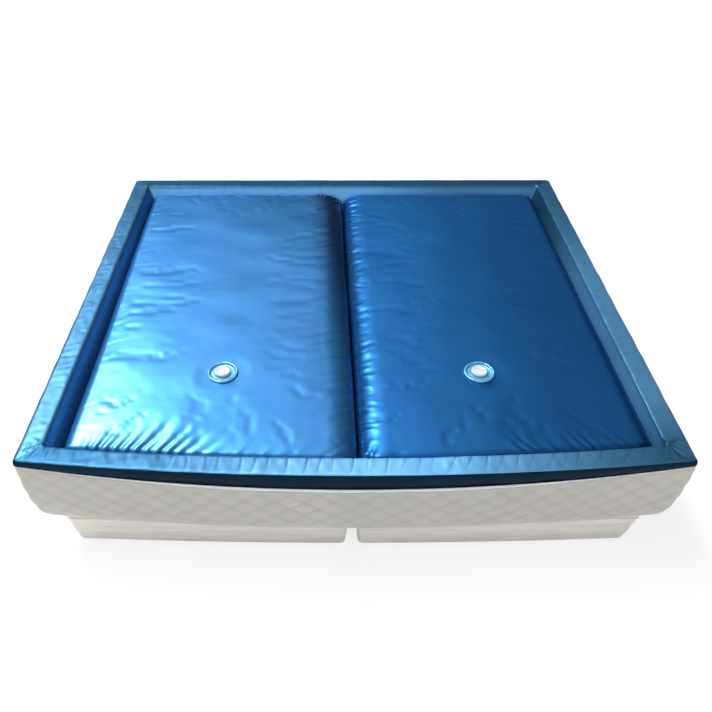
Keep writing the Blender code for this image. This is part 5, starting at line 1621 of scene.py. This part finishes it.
class WATERBED_OT_stage(bpy.types.Operator):
    """Sets the pale floor, the soft studio light and the camera"""
    bl_idname = "waterbed.stage"
    bl_label = "Stage"

    def execute(self, context):
        settings = context.scene.waterbed_stage
        self.floor(settings)
        self.world(context, settings)
        self.softbox(settings.softbox_power)
        self.camera(context, settings)
        context.scene.view_settings.view_transform = "Standard"
        return {"FINISHED"}

    def floor(self, settings):
        look = Finish("studio_floor", roughness=0.9, specular_ior_level=0.1)
        grain = look.noise(0.6, 2.0, 0.5)
        base = look.mixed(grain, settings.floor_colour, tinted(settings.floor_colour, 0.985))
        material = look.wear(Base_Color=base)
        # Camera, glossy and transmission rays see it mostly plain white, the others lit
        rays = [look.node("ShaderNodeLightPath", output=ray) for ray in (CAMERA_RAY, GLOSSY_RAY, THROUGH_RAY)]
        seen = (rays[0] + rays[1] + rays[2]).clamped()
        glow = look.node("ShaderNodeEmission", None, {"Color": (1.0, 1.0, 1.0, 1.0), "Strength": 1.0})
        lit = Wire(look.tree, look.shader.outputs[0])
        both = look.node("ShaderNodeMixShader", None, {0: seen * WHITE_SHARE, 1: lit, 2: glow})
        output = next(node for node in look.tree.nodes if node.type == "OUTPUT_MATERIAL")
        look.tree.links.new(both.socket, output.inputs["Surface"])
        corners = [(x * FLOOR_REACH, y * FLOOR_REACH, 0) for x, y in ((-1, -1), (1, -1), (1, 1), (-1, 1))]
        mesh = bpy.data.meshes.new("studio_floor")
        mesh.from_pydata(corners, [], [(0, 1, 2, 3)])
        floor = bpy.data.objects.new("studio_floor", mesh)
        floor.data.materials.append(material)
        bpy.context.scene.collection.objects.link(floor)

    def world(self, context, settings):
        """A studio brighter on its left: a window glow behind the bed's left, plain light from the front."""
        world = bpy.data.worlds.new("studio")
        context.scene.world = world
        world.use_nodes = True
        tree = world.node_tree
        tree.nodes.clear()
        look = Nodes(tree)
        x, y, z = look.split(look.node("ShaderNodeTexCoord", output=WORLD_WAY))
        left = 0.0 - x
        behind = y.eased(*BEHIND)
        leftward = ((settings.dark_side - x) / 0.58).clamped()
        lower = 0.10 + 0.90 * ((z - 0.44) / 0.18).clamped()
        rear = leftward * lower * settings.left_glow + 0.05
        window = left.eased(*WINDOW_SIDES[0]) * (z + 1.2 * (left - 0.35).positive()).eased(*WINDOW_SILL)
        window = window * (1.0 - left.eased(*WINDOW_SIDES[1]))
        front = settings.front_glow * (1.0 - 0.45 * z.eased(*FRONT_DIMMED))
        pane = window + window ** 3 * (2.5 + 7.0 * z.eased(*WINDOW_BRIGHT))
        glow = front + behind * (rear - front) + pane * behind * settings.window_glow
        base = look.mixed(glow * (1 / BRIGHTEST), (0.0, 0.0, 0.0), (BRIGHTEST, BRIGHTEST, BRIGHTEST))
        camera = look.node("ShaderNodeLightPath", output=CAMERA_RAY)
        through = look.node("ShaderNodeLightPath", output=THROUGH_RAY)
        colour = look.mixed((camera + through).clamped(), base, (1.0, 1.0, 1.0))
        back = look.node("ShaderNodeBackground", None, {"Color": colour, "Strength": 1.0})
        output = tree.nodes.new("ShaderNodeOutputWorld")
        tree.links.new(back.socket, output.inputs["Surface"])

    def softbox(self, power):
        data = bpy.data.lights.new("softbox", "AREA")
        data.shape = "RECTANGLE"
        data.size, data.size_y = LAMP_SIZE
        data.energy = power
        lamp = bpy.data.objects.new("softbox", data)
        lamp.location = LAMP_PLACE
        lamp.rotation_euler = (Vector(LAMP_AIM) - Vector(LAMP_PLACE)).to_track_quat("-Z", "Y").to_euler()
        bpy.context.scene.collection.objects.link(lamp)

    def camera(self, context, settings):
        data = bpy.data.cameras.new("photo_view")
        data.sensor_width = 36.0
        data.lens = settings.camera_lens
        data.shift_x = 0.5 - PHOTO_MIDDLE[0] / PHOTO_SIZE
        data.shift_y = PHOTO_MIDDLE[1] / PHOTO_SIZE - 0.5
        camera = bpy.data.objects.new("photo_view", data)
        pitch, yaw, roll = map(math.radians, CAMERA_TURNS)
        ahead = Vector((math.sin(yaw) * math.cos(pitch), math.cos(yaw) * math.cos(pitch), -math.sin(pitch)))
        level = Vector((math.cos(yaw), -math.sin(yaw), 0.0))
        upright = level.cross(ahead)
        right = level * math.cos(roll) + upright * math.sin(roll)
        above = upright * math.cos(roll) - level * math.sin(roll)
        turned = Matrix((right, above, -ahead)).transposed().to_4x4()
        camera.matrix_world = Matrix.Translation(CAMERA_PLACE) @ turned
        context.scene.collection.objects.link(camera)
        context.scene.camera = camera


class WATERBED_PT_panel(bpy.types.Panel):
    """Lists the operators that build the bed"""
    bl_label = "Softside Waterbed"
    bl_idname = "WATERBED_PT_panel"
    bl_space_type = "VIEW_3D"
    bl_region_type = "UI"
    bl_category = "Waterbed"

    def draw(self, context):
        for group, _, operator in STEPS:
            box = self.layout.box()
            settings = getattr(context.scene, group)
            for name in settings.__annotations__:
                box.prop(settings, name)
            box.operator(operator.bl_idname)


STEPS = (
    ("waterbed_stage", StageSettings, WATERBED_OT_stage),
    ("waterbed_cores", WaterCoreSettings, WATERBED_OT_cores),
    ("waterbed_valves", ValveSettings, WATERBED_OT_valves),
    ("waterbed_liner", LinerSettings, WATERBED_OT_liner),
    ("waterbed_cover", CoverSettings, WATERBED_OT_cover),
    ("waterbed_zip", ZipSettings, WATERBED_OT_zip),
    ("waterbed_tub", TubSettings, WATERBED_OT_tub),
    ("waterbed_base", BaseSettings, WATERBED_OT_base),
)


def register():
    for group, settings, operator in STEPS:
        bpy.utils.register_class(settings)
        bpy.utils.register_class(operator)
        setattr(bpy.types.Scene, group, PointerProperty(type=settings))
    bpy.utils.register_class(WATERBED_PT_panel)


def unregister():
    bpy.utils.unregister_class(WATERBED_PT_panel)
    for group, settings, operator in reversed(STEPS):
        delattr(bpy.types.Scene, group)
        bpy.utils.unregister_class(operator)
        bpy.utils.unregister_class(settings)


def main():
    register()
    bpy.ops.waterbed.stage()
    bpy.ops.waterbed.cores()
    bpy.ops.waterbed.valves()
    bpy.ops.waterbed.liner()
    bpy.ops.waterbed.cover()
    bpy.ops.waterbed.zip()
    bpy.ops.waterbed.tub()
    bpy.ops.waterbed.base()


if __name__ == "__main__":
    main()
